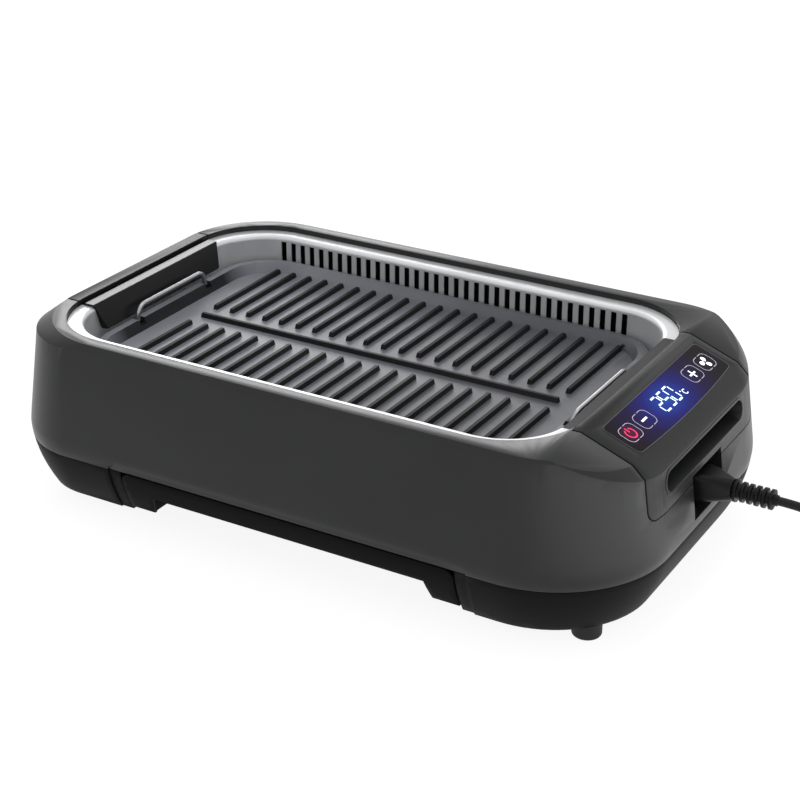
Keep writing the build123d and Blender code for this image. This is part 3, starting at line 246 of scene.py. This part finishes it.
finishes = {
    "housing": mouldedPlastic("housingPlastic", (0.0100, 0.0102, 0.0110), 0.35, specular=0.29),
    "saddle": mouldedPlastic("saddlePlastic", (0.010, 0.0103, 0.0105), 0.42, specular=0.2),
    "guard": mouldedPlastic("guardPlastic", (0.006, 0.006, 0.0063), 0.38, specular=0.2),
    # painted highlight: a lighter copy of the guard's own plastic for its top strip
    "strip": mouldedPlastic("stripPlastic", (0.05, 0.05, 0.052), 0.35, specular=0.4),
    "base": mouldedPlastic("basePlastic", (0.0042, 0.0042, 0.0045), 0.5, 1800, 0.00005, specular=0.06),
    "drawer": mouldedPlastic("drawerPlastic", (0.0036, 0.0036, 0.0039), 0.48, 1800, 0.00005, specular=0.03),
    "steel": brushedSteel("wellSteel", (0.62, 0.625, 0.64), 0.40, metallic=0.6),
    "wire": brushedSteel("handleWire", (0.38, 0.38, 0.39), 0.30, (900, 30, 900), 0.000004),
    # painted sheen: the plate's coating runs from light at the left end to dark towards the right
    "plate": paintedLightAndShade("plateCoatingPaintedSheen", (0.155, 0.160, 0.182), (0.060, 0.062, 0.071), (-0.19, 0.06),
                          0.46, 0.5),
    # painted shade: the pocket's left side and the foot slots are dark in the middle, fading to light towards
    # the ends
    "wall": paintedLightAndShade("wallPaintedShade", (0.013, 0.0135, 0.016), (0.17, 0.175, 0.195), (0.070, 0.106),
                         0.55, 0.12, "Y"),
    # painted shade: the ribs share the plate's coating but are coloured near black
    "rib": paintedShadeRibCasting("ribCoatingPaintedShade", (0.008, 0.008, 0.009), 0.55, 3000, 0.15),
    "sheath": brushedSteel("elementSheath", (0.16, 0.14, 0.12), 0.45, (400, 400, 400)),
    "block": mouldedPlastic("terminalMoulding", (0.62, 0.6, 0.55), 0.6),
    "board": mouldedPlastic("boardCoat", (0.015, 0.09, 0.035), 0.35, 900, 0.00002),
    "display": mouldedPlastic("displayModule", (0.05, 0.05, 0.052), 0.4),
    "spring": brushedSteel("platedSteel", (0.62, 0.62, 0.6), 0.25, (300, 300, 300)),
    "wheel": mouldedPlastic("wheelPlastic", (0.03, 0.03, 0.03), 0.5),
    "scroll": mouldedPlastic("scrollPlastic", (0.06, 0.06, 0.06), 0.5),
    "motor": brushedSteel("motorZinc", (0.5, 0.5, 0.5), 0.35, (60, 60, 900)),
    "bin": mouldedPlastic("binPlastic", (0.010, 0.010, 0.0104), 0.42),
    "brass": brushedSteel("pinBrass", (0.75, 0.6, 0.3), 0.25, (400, 400, 400)),
    "connector": mouldedPlastic("connectorPlastic", (0.004, 0.004, 0.004), 0.34, 1500, specular=0.14),
    "lead": mouldedPlastic("leadSheath", (0.005, 0.005, 0.0052), 0.36, 1200, 0.00002, specular=0.2),
    "foot": mouldedPlastic("footRubber", (0.012, 0.012, 0.0122), 0.6, 1500, 0.00005, specular=0.25),
    "glass": newFinish("panelGlass", (0.004, 0.0045, 0.006), 0.06, 0.0, 0.2)[0],
}

nodeFinish = {
    "upper_housing": "housing", "base_tub": "base", "right_saddle": "saddle", "left_saddle": "saddle",
    "left_guard": "guard", "right_guard": "guard", "steel_well": "steel", "grill_plate": "plate",
    "left_handle": "wire", "right_handle": "wire", "heating_element": "sheath", "element_supports": "steel",
    "terminal_block": "block", "temperature_probe": "spring", "drawer_front": "drawer", "drip_bin": "bin",
    "fan_wheel": "wheel", "fan_scroll": "scroll", "motor_bracket": "motor", "fan_motor": "motor",
    "fan_shaft": "motor", "touch_glass": "glass", "display_board": "board", "led_display": "display",
    "touch_springs": "spring", "board_screws": "spring", "power_board": "board", "inlet_socket": "connector",
    "inlet_pins": "brass", "power_connector": "connector", "lead_stretch": "lead", "lead_coil": "lead",
    "mains_plug": "connector", "base_screws": "spring", "foot_front_left": "foot", "foot_back_left": "foot",
    "foot_front_right": "foot", "foot_back_right": "foot",
}
for nodeName, finishName in nodeFinish.items():
    slots = nodes[nodeName].data.materials
    slots.clear()
    slots.append(finishes[finishName])

# the floor glows white, and more strongly beyond the right end: glow is a smooth step of X
floorSettings = {"reach": 9, "places": (0.27, 0.6), "glows": (0.9, 2.6)}
floorFinish, floorTree, floorShader, floorPlace = newFinish("paleFloor", (0.14, 0.14, 0.14), 0.8, 0.0, 0.0)
floorShader.inputs["Emission Color"].default_value = (1, 1, 1, 1)
floorSplit = floorTree.nodes.new("ShaderNodeSeparateXYZ")
floorRange = floorTree.nodes.new("ShaderNodeMapRange")
floorRange.interpolation_type = "SMOOTHSTEP"
floorRange.inputs["From Min"].default_value = floorSettings["places"][0]
floorRange.inputs["From Max"].default_value = floorSettings["places"][1]
floorRange.inputs["To Min"].default_value = floorSettings["glows"][0]
floorRange.inputs["To Max"].default_value = floorSettings["glows"][1]
floorTree.links.new(floorPlace.outputs["Object"], floorSplit.inputs["Vector"])
floorTree.links.new(floorSplit.outputs["X"], floorRange.inputs["Value"])
floorTree.links.new(floorRange.outputs["Result"], floorShader.inputs["Emission Strength"])
far = floorSettings["reach"]
floor = meshObject("paleFloor", [(-far, -far, 0), (far, -far, 0), (far, far, 0), (-far, far, 0)],
                   [range(4)], floorFinish, None)

print("grill: softened edges")

softEdges = {  # bevel width in metres, and the record's slot
    "upper_housing": (0.0009, "housing_black"),
    "right_saddle": (0.0006, "saddle_black"),
    "left_saddle": (0.0006, "saddle_black"),
    "base_tub": (0.0008, "base_black"),
    "drawer_front": (0.0006, "base_black"),
    "power_connector": (0.0007, "connector_black"),
    "mains_plug": (0.0008, "connector_black"),
}
softRules = {"merge": 0.000004, "flatAngle": 0.4, "sharpAngle": 24, "segments": 2}
edgeCopies = {}


def softCopy(nodeName, width):
    # merged copy of a CAD piece: flat runs joined into whole faces, each edge over the sharp angle bevelled
    data = nodes[nodeName].data.copy()
    data.name = nodeName + "Soft"
    work = bmesh.new()
    work.from_mesh(data)
    bmesh.ops.remove_doubles(work, verts=work.verts, dist=softRules["merge"])
    flatAngle = math.radians(softRules["flatAngle"])
    bmesh.ops.dissolve_limit(work, angle_limit=flatAngle, verts=work.verts, edges=work.edges)
    work.to_mesh(data)
    work.free()
    data.materials.clear()
    data.materials.append(finishes[nodeFinish[nodeName]])
    data.shade_smooth()
    piece = bpy.data.objects.new(nodeName + "Soft", data)
    bpy.context.scene.collection.objects.link(piece)
    bevel = piece.modifiers.new("roundEdge", "BEVEL")
    bevel.width = width
    bevel.segments = softRules["segments"]
    bevel.limit_method = "ANGLE"
    bevel.angle_limit = math.radians(softRules["sharpAngle"])
    bevel.harden_normals = True
    return piece


def faceRows(data, quality):
    # one row of three numbers for each face: its centre or its normal
    values = np.empty(3 * len(data.polygons))
    data.polygons.foreach_get(quality, values)
    return values.reshape(-1, 3)


for softName, (softWidth, softSlot) in softEdges.items():
    edgeCopies[softName] = softCopy(softName, softWidth)
    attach(edgeCopies[softName], "drawer" if softName == "drawer_front" else "housing")
    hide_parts(softName)

print("grill: guard")

guardShape = {
    "section": [(-249.0, 134.1), (-249.0, 143.6), (-246.9, 143.6), (-246.5, 149.5), (-236.8, 149.5),
                (-229.5, 127.6), (-231.0, 126.1), (-243.0, 126.1)],  # X and Z in millimetres
    "levels": (126.1, 149.5),
    "halfLengths": (80.0, 88.0),  # at the two levels
    "soft": 0.0007,
    "segments": 3,
    "upward": 0.9,  # least Z of a normal that counts as the strip on top
}


def guardPoints(shape):
    # (x, -half, z) for the whole section, then (x, half, z); half runs straight between the two levels
    x, z = np.array(shape["section"]).T
    half = np.interp(z, shape["levels"], shape["halfLengths"])
    return np.concatenate([np.stack([x, side * half, z], 1) for side in (-1, 1)]) * mm


guard = meshObject("guardBar", guardPoints(guardShape), prismFaces(len(guardShape["section"])),
                   finishes["guard"], "housing")
# the faces on top take the lighter copy of the guard plastic, a painted highlight
guard.data.materials.append(finishes["strip"])
paintedHighlightTop = faceRows(guard.data, "normal")[:, 2] > guardShape["upward"]
guard.data.polygons.foreach_set("material_index", paintedHighlightTop.astype(int))
guardBevel = guard.modifiers.new("roundEdge", "BEVEL")
guardBevel.width = guardShape["soft"]
guardBevel.segments = guardShape["segments"]
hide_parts("left_guard")

print("grill: lead")

leadShape = {
    "exit": (0.333, 0.0, 0.0803),
    "thickness": 0.007,
    "coilRadius": 0.044,
    "coilPitch": 0.0078,  # between turns beside each other
    "layer": 0.0076,  # between the two layers of turns
    "straight": 0.012,  # before and after the turns
    "ease": 0.0005,  # from the last point before the turns, and to the first one after them
    "halvesBelow": 4,
    "halvesAbove": 3,
    "steps": 9,  # control points to a half turn
}
leadRoute = [
    (0.333, 0.0, 0.0803),
    (0.353, 0.0, 0.0803),
    (0.3767, 0.0033, 0.0728),
    (0.3969, 0.0123, 0.0573),
    (0.4114, 0.0263, 0.0378),
    (0.4212, 0.0447, 0.0191),
    (0.4262, 0.0684, 0.0073),
    (0.4273, 0.0931, 0.00355),
    (0.4273, 0.115, 0.00355),
]


def coilPoints(shape, start):
    # half circles end to end, each half a pitch smaller than the last below and half a pitch larger above;
    # control points lie outside a turn of radius r at r / cos(pi / (2 * steps)), so that the curve keeps r
    radii = [shape["coilRadius"] - k * shape["coilPitch"] / 2 for k in range(shape["halvesBelow"] + 1)]
    radii += [radii[-1] + (k + 1) * shape["coilPitch"] / 2 for k in range(shape["halvesAbove"])]
    x, y, z = start
    y += shape["straight"]
    points = [(x, y - shape["ease"], z)]
    part = (np.arange(shape["steps"]) + 0.5) / shape["steps"]
    turn = math.pi * part
    side = 1
    for k, radius in enumerate(radii):
        centre = x - side * radius
        rise = shape["layer"] if k == shape["halvesBelow"] else 0.0
        wide = radius / math.cos(math.pi / (2 * shape["steps"]))
        across, along = centre + side * wide * np.cos(turn), y + side * wide * np.sin(turn)
        points += np.stack([across, along, z + rise * part], 1).tolist()
        x, z, side = centre - side * radius, z + rise, -side
    return points + [(x, y + shape["ease"], z), (x, y + shape["straight"], z)]


leadPoints = leadRoute + coilPoints(leadShape, leadRoute[-1])
leadData = bpy.data.curves.new("lead", "CURVE")
leadData.dimensions = "3D"
leadData.bevel_depth = leadShape["thickness"] / 2
leadData.bevel_resolution = 5
leadData.resolution_u = 6
leadData.use_fill_caps = True
leadSpline = leadData.splines.new("NURBS")
leadSpline.points.add(len(leadPoints) - 1)
leadSpline.points.foreach_set("co", np.insert(leadPoints, 3, 1, axis=1).ravel())  # each weight is 1
leadSpline.order_u = 3
leadSpline.use_endpoint_u = True
leadData.materials.append(finishes["lead"])
lead = bpy.data.objects.new("lead", leadData)
bpy.context.scene.collection.objects.link(lead)
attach(lead, "housing")
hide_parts("lead_stretch", "lead_coil")

# points along a copy of the curve that has no thickness
leadLine = leadData.copy()
leadLine.bevel_depth = 0
leadProbe = bpy.data.objects.new("leadProbe", leadLine)
leadMesh = bpy.data.meshes.new_from_object(leadProbe)
leadPath = np.empty(3 * len(leadMesh.vertices))
leadMesh.vertices.foreach_get("co", leadPath)
bpy.data.objects.remove(leadProbe)
bpy.data.curves.remove(leadLine)
bpy.data.meshes.remove(leadMesh)

print("grill: touch panel")

# on the panel, s runs down the slope from the crease and y along it, both in millimetres
panel = {
    "crease": (0.2169, 0.0, 0.152),
    "slope": 21.1,  # degrees
    "lift": 0.00034,  # of the printed lines over the moulding, in metres
    "cornerSteps": 9,
    "film": {"near": 8.0, "far": 41.2, "front": -84.4, "back": 91.2, "corner": 4.2, "bow": 3.0,
             "bowTrim": (8, 1.2), "bowSteps": 40, "levels": (0.00002, 0.00026)},
    "rim": {"grow": 0.25, "width": 0.5},
    "glow": {"s": 25.0, "y": -3.0, "reach": (46.0, 78.0), "stops": [
        (0.0, (0.014, 0.070, 0.40)), (0.16, (0.010, 0.038, 0.32)), (0.38, (0.009, 0.009, 0.16)),
        (0.64, (0.009, 0.003, 0.045)), (1.0, (0.004, 0.001, 0.004))]},
    "warn": {"s": 25.0, "y": -68.7, "reach": (9.0, 9.5), "stops": [
        (0.0, (0.10, 0.0, 0.012)), (0.55, (0.07, 0.0, 0.010)), (1.0, (0.0, 0.0, 0.0))]},
}


def onPanel(s, y, n):
    # crease + s down the slope + y along the crease + n off the glass, with n in metres
    a = math.radians(panel["slope"])
    x0, y0, z0 = panel["crease"]
    s, y = np.asarray(s) * mm, np.asarray(y) * mm
    return np.stack([x0 + s * math.cos(a) + n * math.sin(a), y0 + y,
                     z0 - s * math.sin(a) + n * math.cos(a)], -1)


def inkFinish(name, colour, glow):
    # printed ink of one colour that gives off colour * glow
    finish, _, shader, _ = newFinish(name, colour, 0.5, 0.0, 0.2)
    shader.inputs["Emission Color"].default_value = (*colour, 1)
    shader.inputs["Emission Strength"].default_value = glow
    return finish


inks = {
    "line": inkFinish("keyLine", (0.42, 0.38, 0.44), 0.5),
    "white": inkFinish("keyInk", (0.9, 0.92, 0.95), 0.85),
    "red": inkFinish("powerInk", (0.72, 0.035, 0.12), 0.75),
    "digit": inkFinish("digitGlow", (0.78, 0.97, 1.0), 1.1),
    "rim": inkFinish("filmRim", (0.09, 0.09, 0.088), 0.2),
}


def radialOf(tree, place, spot):
    # colour by the distance from a spot on the panel, in units of the spot's reach along s and y
    mapping = tree.nodes.new("ShaderNodeMapping")
    mapping.vector_type = "TEXTURE"
    mapping.inputs["Location"].default_value = onPanel(spot["s"], spot["y"], 0)
    mapping.inputs["Rotation"].default_value = (0, math.radians(panel["slope"]), 0)
    mapping.inputs["Scale"].default_value = (spot["reach"][0] * mm, spot["reach"][1] * mm, 1)
    length = tree.nodes.new("ShaderNodeVectorMath")
    length.operation = "LENGTH"
    ramp = tree.nodes.new("ShaderNodeValToRGB")
    stops = spot["stops"]
    for element, (position, colour) in zip(ramp.color_ramp.elements, (stops[0], stops[-1])):
        element.position = position
        element.color = (*colour, 1)
    for position, colour in stops[1:-1]:
        ramp.color_ramp.elements.new(position).color = (*colour, 1)
    tree.links.new(place.outputs["Object"], mapping.inputs["Vector"])
    tree.links.new(mapping.outputs["Vector"], length.inputs[0])
    tree.links.new(length.outputs["Value"], ramp.inputs["Fac"])
    return ramp.outputs["Color"]


def glowingFilm():
    # black film whose glow is the blue spot's colour + the red spot's
    finish, tree, shader, place = newFinish("glowingFilm", (0.004, 0.0035, 0.005), 0.16, 0.0, 0.06)
    both = tree.nodes.new("ShaderNodeVectorMath")
    both.operation = "ADD"
    tree.links.new(radialOf(tree, place, panel["glow"]), both.inputs[0])
    tree.links.new(radialOf(tree, place, panel["warn"]), both.inputs[1])
    tree.links.new(both.outputs["Vector"], shader.inputs["Emission Color"])
    shader.inputs["Emission Strength"].default_value = 1.0
    return finish


def inkStroke(name, line, width, ink, closed=False):
    # flat ribbon: each point of the line +- width / 2 across it, a little more at a corner so the width holds
    middle = np.array(line, float)
    count = len(middle)
    ahead = np.roll(middle, -1, 0) - middle
    behind = middle - np.roll(middle, 1, 0)
    if not closed:
        ahead[-1] = behind[-1]
        behind[0] = ahead[0]
    ahead /= np.linalg.norm(ahead, axis=1)[:, None]
    behind /= np.linalg.norm(behind, axis=1)[:, None]
    tangent = ahead + behind
    tangent /= np.linalg.norm(tangent, axis=1)[:, None]
    normal = np.stack([-tangent[:, 1], tangent[:, 0]], 1)
    aheadNormal = np.stack([-ahead[:, 1], ahead[:, 0]], 1)
    reach = width / 2 / np.clip(np.abs((normal * aheadNormal).sum(1)), 0.5, 1)
    both = np.concatenate([middle + normal * reach[:, None], middle - normal * reach[:, None]])
    last = count if closed else count - 1
    faces = [(i, (i + 1) % count, count + (i + 1) % count, count + i) for i in range(last)]
    meshObject(name, onPanel(*both.T, panel["lift"]), faces, inks[ink], "housing")


def inkShape(name, outline, ink):
    # one flat face inside an outline of (s, y) points
    meshObject(name, onPanel(*np.array(outline).T, panel["lift"]), [range(len(outline))], inks[ink],
               "housing")


def inkBar(name, s, y, size, ink):
    # rectangle of size[0] along s and size[1] along y, round its centre
    halfS, halfY = size[0] / 2, size[1] / 2
    inkShape(name, [(s - halfS, y - halfY), (s + halfS, y - halfY), (s + halfS, y + halfY),
                    (s - halfS, y + halfY)], ink)


def arcPoints(s, y, radius, start, end, count=panel["cornerSteps"]):
    # (s + radius * cos a, y + radius * sin a), with a in even steps from start to end, in degrees
    a = np.radians(np.linspace(start, end, count))
    return np.stack([s + radius * np.cos(a), y + radius * np.sin(a)], 1)


def filmOutline(film, grow):
    # rounded rectangle, grown all round, whose far edge bows by bow * (1 - u ** 2), u = -1 to 1 along it
    near, far = film["near"] - grow, film["far"] + grow
    front, back, r = film["front"] - grow, film["back"] + grow, film["corner"] + grow
    middle, half = (front + back) / 2, (back - front) / 2
    trimAngle, trim = film["bowTrim"]
    y = np.linspace(front + r + trim, back - r - trim, film["bowSteps"])
    bowed = np.stack([far + film["bow"] * (1 - ((y - middle) / (half - r)) ** 2), y], 1)
    return np.concatenate([
        arcPoints(near + r, front + r, r, 180, 270), arcPoints(far - r, front + r, r, 270, 360 - trimAngle),
        bowed, arcPoints(far - r, back - r, r, trimAngle, 90), arcPoints(near + r, back - r, r, 90, 180)])


filmLine = filmOutline(panel["film"], 0)
filmPoints = np.concatenate([onPanel(*filmLine.T, level) for level in panel["film"]["levels"]])
meshObject("panelFilm", filmPoints, prismFaces(len(filmLine)), glowingFilm(), "housing")
inkStroke("filmRim", filmOutline(panel["film"], panel["rim"]["grow"]), panel["rim"]["width"], "rim", True)

keys = {
    "s": 25.0,
    "y": {"fan": 74.5, "plus": 49.2, "minus": -43.2, "power": -68.4},
    "size": (15.6, 20.4),
    "corner": 5.2,
    "gap": 2.0,  # in the outline, at the middle of its near and far sides
    "line": 0.52,
}


def keyOutline(y):
    # rounded rectangle round the key's centre, from the middle of its far side
    w, h = keys["size"][0] / 2 - keys["corner"], keys["size"][1] / 2 - keys["corner"]
    corners = ((w, h, 0), (-w, h, 90), (-w, -h, 180), (w, -h, 270))
    return np.concatenate([arcPoints(keys["s"] + ds, y + dy, keys["corner"], start, start + 90)
                           for ds, dy, start in corners])


for keyName, keyY in keys["y"].items():
    keyLine = keyOutline(keyY)
    farS, nearS = keys["s"] + keys["size"][0] / 2, keys["s"] - keys["size"][0] / 2
    gapBack, gapFront = keyY + keys["gap"] / 2, keyY - keys["gap"] / 2
    keyBack = [(farS, gapBack), *keyLine[keyLine[:, 1] > keyY], (nearS, gapBack)]
    keyFront = [(nearS, gapFront), *keyLine[keyLine[:, 1] <= keyY], (farS, gapFront)]
    inkStroke(keyName + "KeyBack", keyBack, keys["line"], "line")
    inkStroke(keyName + "KeyFront", keyFront, keys["line"], "line")

# signs: places are from the centre of their key
signs = {
    "plusAcross": (1.6, 9.6),
    "plusEnd": {"s": 2.6, "size": (3.4, 1.5)},
    "minus": {"s": -0.2, "y": -0.3, "size": (1.7, 8.6)},
    "powerRing": {"s": 0.3, "y": -0.4, "radius": 4.9, "sweep": (212, 508), "steps": 44, "line": 1.15},
    "powerBar": {"s": (-5.6, -0.6), "y": -0.4, "line": 1.2},
    "blades": {"count": 3, "turn": 20, "hub": 1.2, "hubSweep": (-50, 30), "hubSteps": 5,  # rim: radius, angle
               "rim": [(3.4, 34), (5.4, 26), (6.3, 6), (6.0, -16), (4.6, -32), (2.6, -44)]},
}

signS = keys["s"]
plusY = keys["y"]["plus"]
plusEnd = signs["plusEnd"]
inkBar("plusBarAcross", signS, plusY, signs["plusAcross"], "white")
inkBar("plusBarUpper", signS - plusEnd["s"], plusY, plusEnd["size"], "white")
inkBar("plusBarLower", signS + plusEnd["s"], plusY, plusEnd["size"], "white")
minus = signs["minus"]
inkBar("minusBar", signS + minus["s"], keys["y"]["minus"] + minus["y"], minus["size"], "white")
powerY = keys["y"]["power"]
ring = signs["powerRing"]
ringLine = arcPoints(signS + ring["s"], powerY + ring["y"], ring["radius"], *ring["sweep"], ring["steps"])
inkStroke("powerRing", ringLine, ring["line"], "red")
bar = signs["powerBar"]
inkStroke("powerBar", [(signS + s, powerY + bar["y"]) for s in bar["s"]], bar["line"], "red")


def bladeOutline(shape, turn):
    # arc on the hub, then the rim's (radius, angle) points, all turned about the key's centre
    start, end = shape["hubSweep"]
    s, y = keys["s"], keys["y"]["fan"]
    radius, angle = np.array(shape["rim"], float).T
    angle = np.radians(turn + angle)
    rim = np.stack([s + radius * np.cos(angle), y + radius * np.sin(angle)], 1)
    return np.concatenate([arcPoints(s, y, shape["hub"], turn + start, turn + end, shape["hubSteps"]), rim])


blades = signs["blades"]
for bladeIndex in range(blades["count"]):
    bladeTurn = blades["turn"] + 360 / blades["count"] * bladeIndex
    inkShape(f"fanBlade{bladeIndex}", bladeOutline(blades, bladeTurn), "white")

digits = {
    "text": "250",
    "top": 17.4,
    "left": -17.3,
    "size": (8.1, 15.4),
    "pitch": 10.8,
    "lines": (1.5, 1.1),  # of the bars across and of the bars down
    "degree": {"s": 28.2, "y": 16.9, "radius": 0.55, "sweep": (0, 330), "steps": 12, "line": 0.45},
    "unit": {"s": 30.9, "y": 21.0, "radius": 2.4, "sweep": (135, 405), "steps": 22, "line": 0.7},
}
# ends of each bar, from the digit's lower left corner, as shares of its width and height
segmentLines = {
    "a": ((0.13, 1.0), (0.87, 1.0)), "b": ((1.0, 0.93), (1.0, 0.56)), "c": ((1.0, 0.43), (1.0, 0.06)),
    "d": ((0.13, 0.0), (0.87, 0.0)), "e": ((0.0, 0.43), (0.0, 0.06)), "f": ((0.0, 0.93), (0.0, 0.56)),
    "g": ((0.13, 0.5), (0.87, 0.5)),
}
digitSegments = {"2": "abged", "5": "afgcd", "0": "abcdef"}


def digitBars(index, digit):
    # a stroke for each lit bar: s = top + height * (1 - v), y = left + index * pitch + width * u
    wide, tall = digits["size"]
    left = digits["left"] + index * digits["pitch"]
    for letter in digitSegments[digit]:
        ends = [(digits["top"] + tall * (1 - v), left + u * wide) for u, v in segmentLines[letter]]
        inkStroke(f"digit{index}{letter}", ends, digits["lines"][0 if letter in "adg" else 1], "digit")


for digitIndex, digit in enumerate(digits["text"]):
    digitBars(digitIndex, digit)
for markName, mark in (("degreeRing", digits["degree"]), ("unitLetter", digits["unit"])):
    inkStroke(markName, arcPoints(mark["s"], mark["y"], mark["radius"], *mark["sweep"], mark["steps"]),
              mark["line"], "digit")

print("grill: plate")

plateShape = {
    "soft": 0.0008,
    "centre": -0.020, "pitch": 0.017, "count": 21, "halfWidth": 0.0030,  # the ribs, along X
    "inner": 0.0175, "outer": 0.1186,  # the ribs' ends, along Y
    "ribFoot": 0.1176, "ribTop": 0.1222,
    "spine": (-0.1915, 0.1515),
    "wallLevels": (0.1177, 0.1263), "wallNormal": (0.7, 0.75),  # least X and most Z of a wall's normal
    "pivots": (-0.2228, 0.1828), "slotReach": 0.0093, "slotSides": (0.0434, 0.0518),  # the handles' slots
}
plateBody = softCopy("grill_plate", plateShape["soft"])
plateBody.data.materials.append(finishes["rib"])
plateBody.data.materials.append(finishes["wall"])


def onRibs(centres, shape):
    # true between the level of the rib feet and tops, within half a rib's width of a rib or of the spine
    x, y, z = centres.T
    steps = (x - shape["centre"]) / shape["pitch"] + (shape["count"] - 1) / 2
    nearest = np.round(steps)
    besideRib = np.abs(steps - nearest) * shape["pitch"] < shape["halfWidth"]
    alongRib = (np.abs(y) > shape["inner"]) & (np.abs(y) < shape["outer"])
    onRib = (nearest >= 0) & (nearest < shape["count"]) & besideRib & alongRib
    onSpine = (np.abs(y) < shape["halfWidth"]) & (x > shape["spine"][0]) & (x < shape["spine"][1])
    return (z > shape["ribFoot"]) & (z < shape["ribTop"]) & (onRib | onSpine)


def onWall(centres, normals, shape):
    # true on the pocket's left side, which faces the right end, and inside the slots of the handle feet
    x, y, z = centres.T
    low, high = shape["wallLevels"]
    leastX, mostZ = shape["wallNormal"]
    facing = (normals[:, 0] > leastX) & (normals[:, 2] < mostZ)
    onSide = (x < shape["spine"][0]) & facing & (z > low) & (z < high)
    slotNear, slotFar = shape["slotSides"]
    atPivot = np.abs(x[:, None] - np.array(shape["pivots"])).min(1) < shape["slotReach"]
    inSlot = atPivot & (np.abs(y) > slotNear) & (np.abs(y) < slotFar) & (z < high)
    return onSide | inSlot


plateCentres = faceRows(plateBody.data, "center")
# the ribs take the dark rib finish, which is painted shade
shadedRibFaces = onRibs(plateCentres, plateShape)
# the pocket's left side and the foot slots take the wall finish, which is painted shade
paintedShadeWallFaces = onWall(plateCentres, faceRows(plateBody.data, "normal"), plateShape) & ~shadedRibFaces
plateBody.data.polygons.foreach_set("material_index", shadedRibFaces * 1 + paintedShadeWallFaces * 2)
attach(plateBody, "grill_plate")
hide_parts("grill_plate")
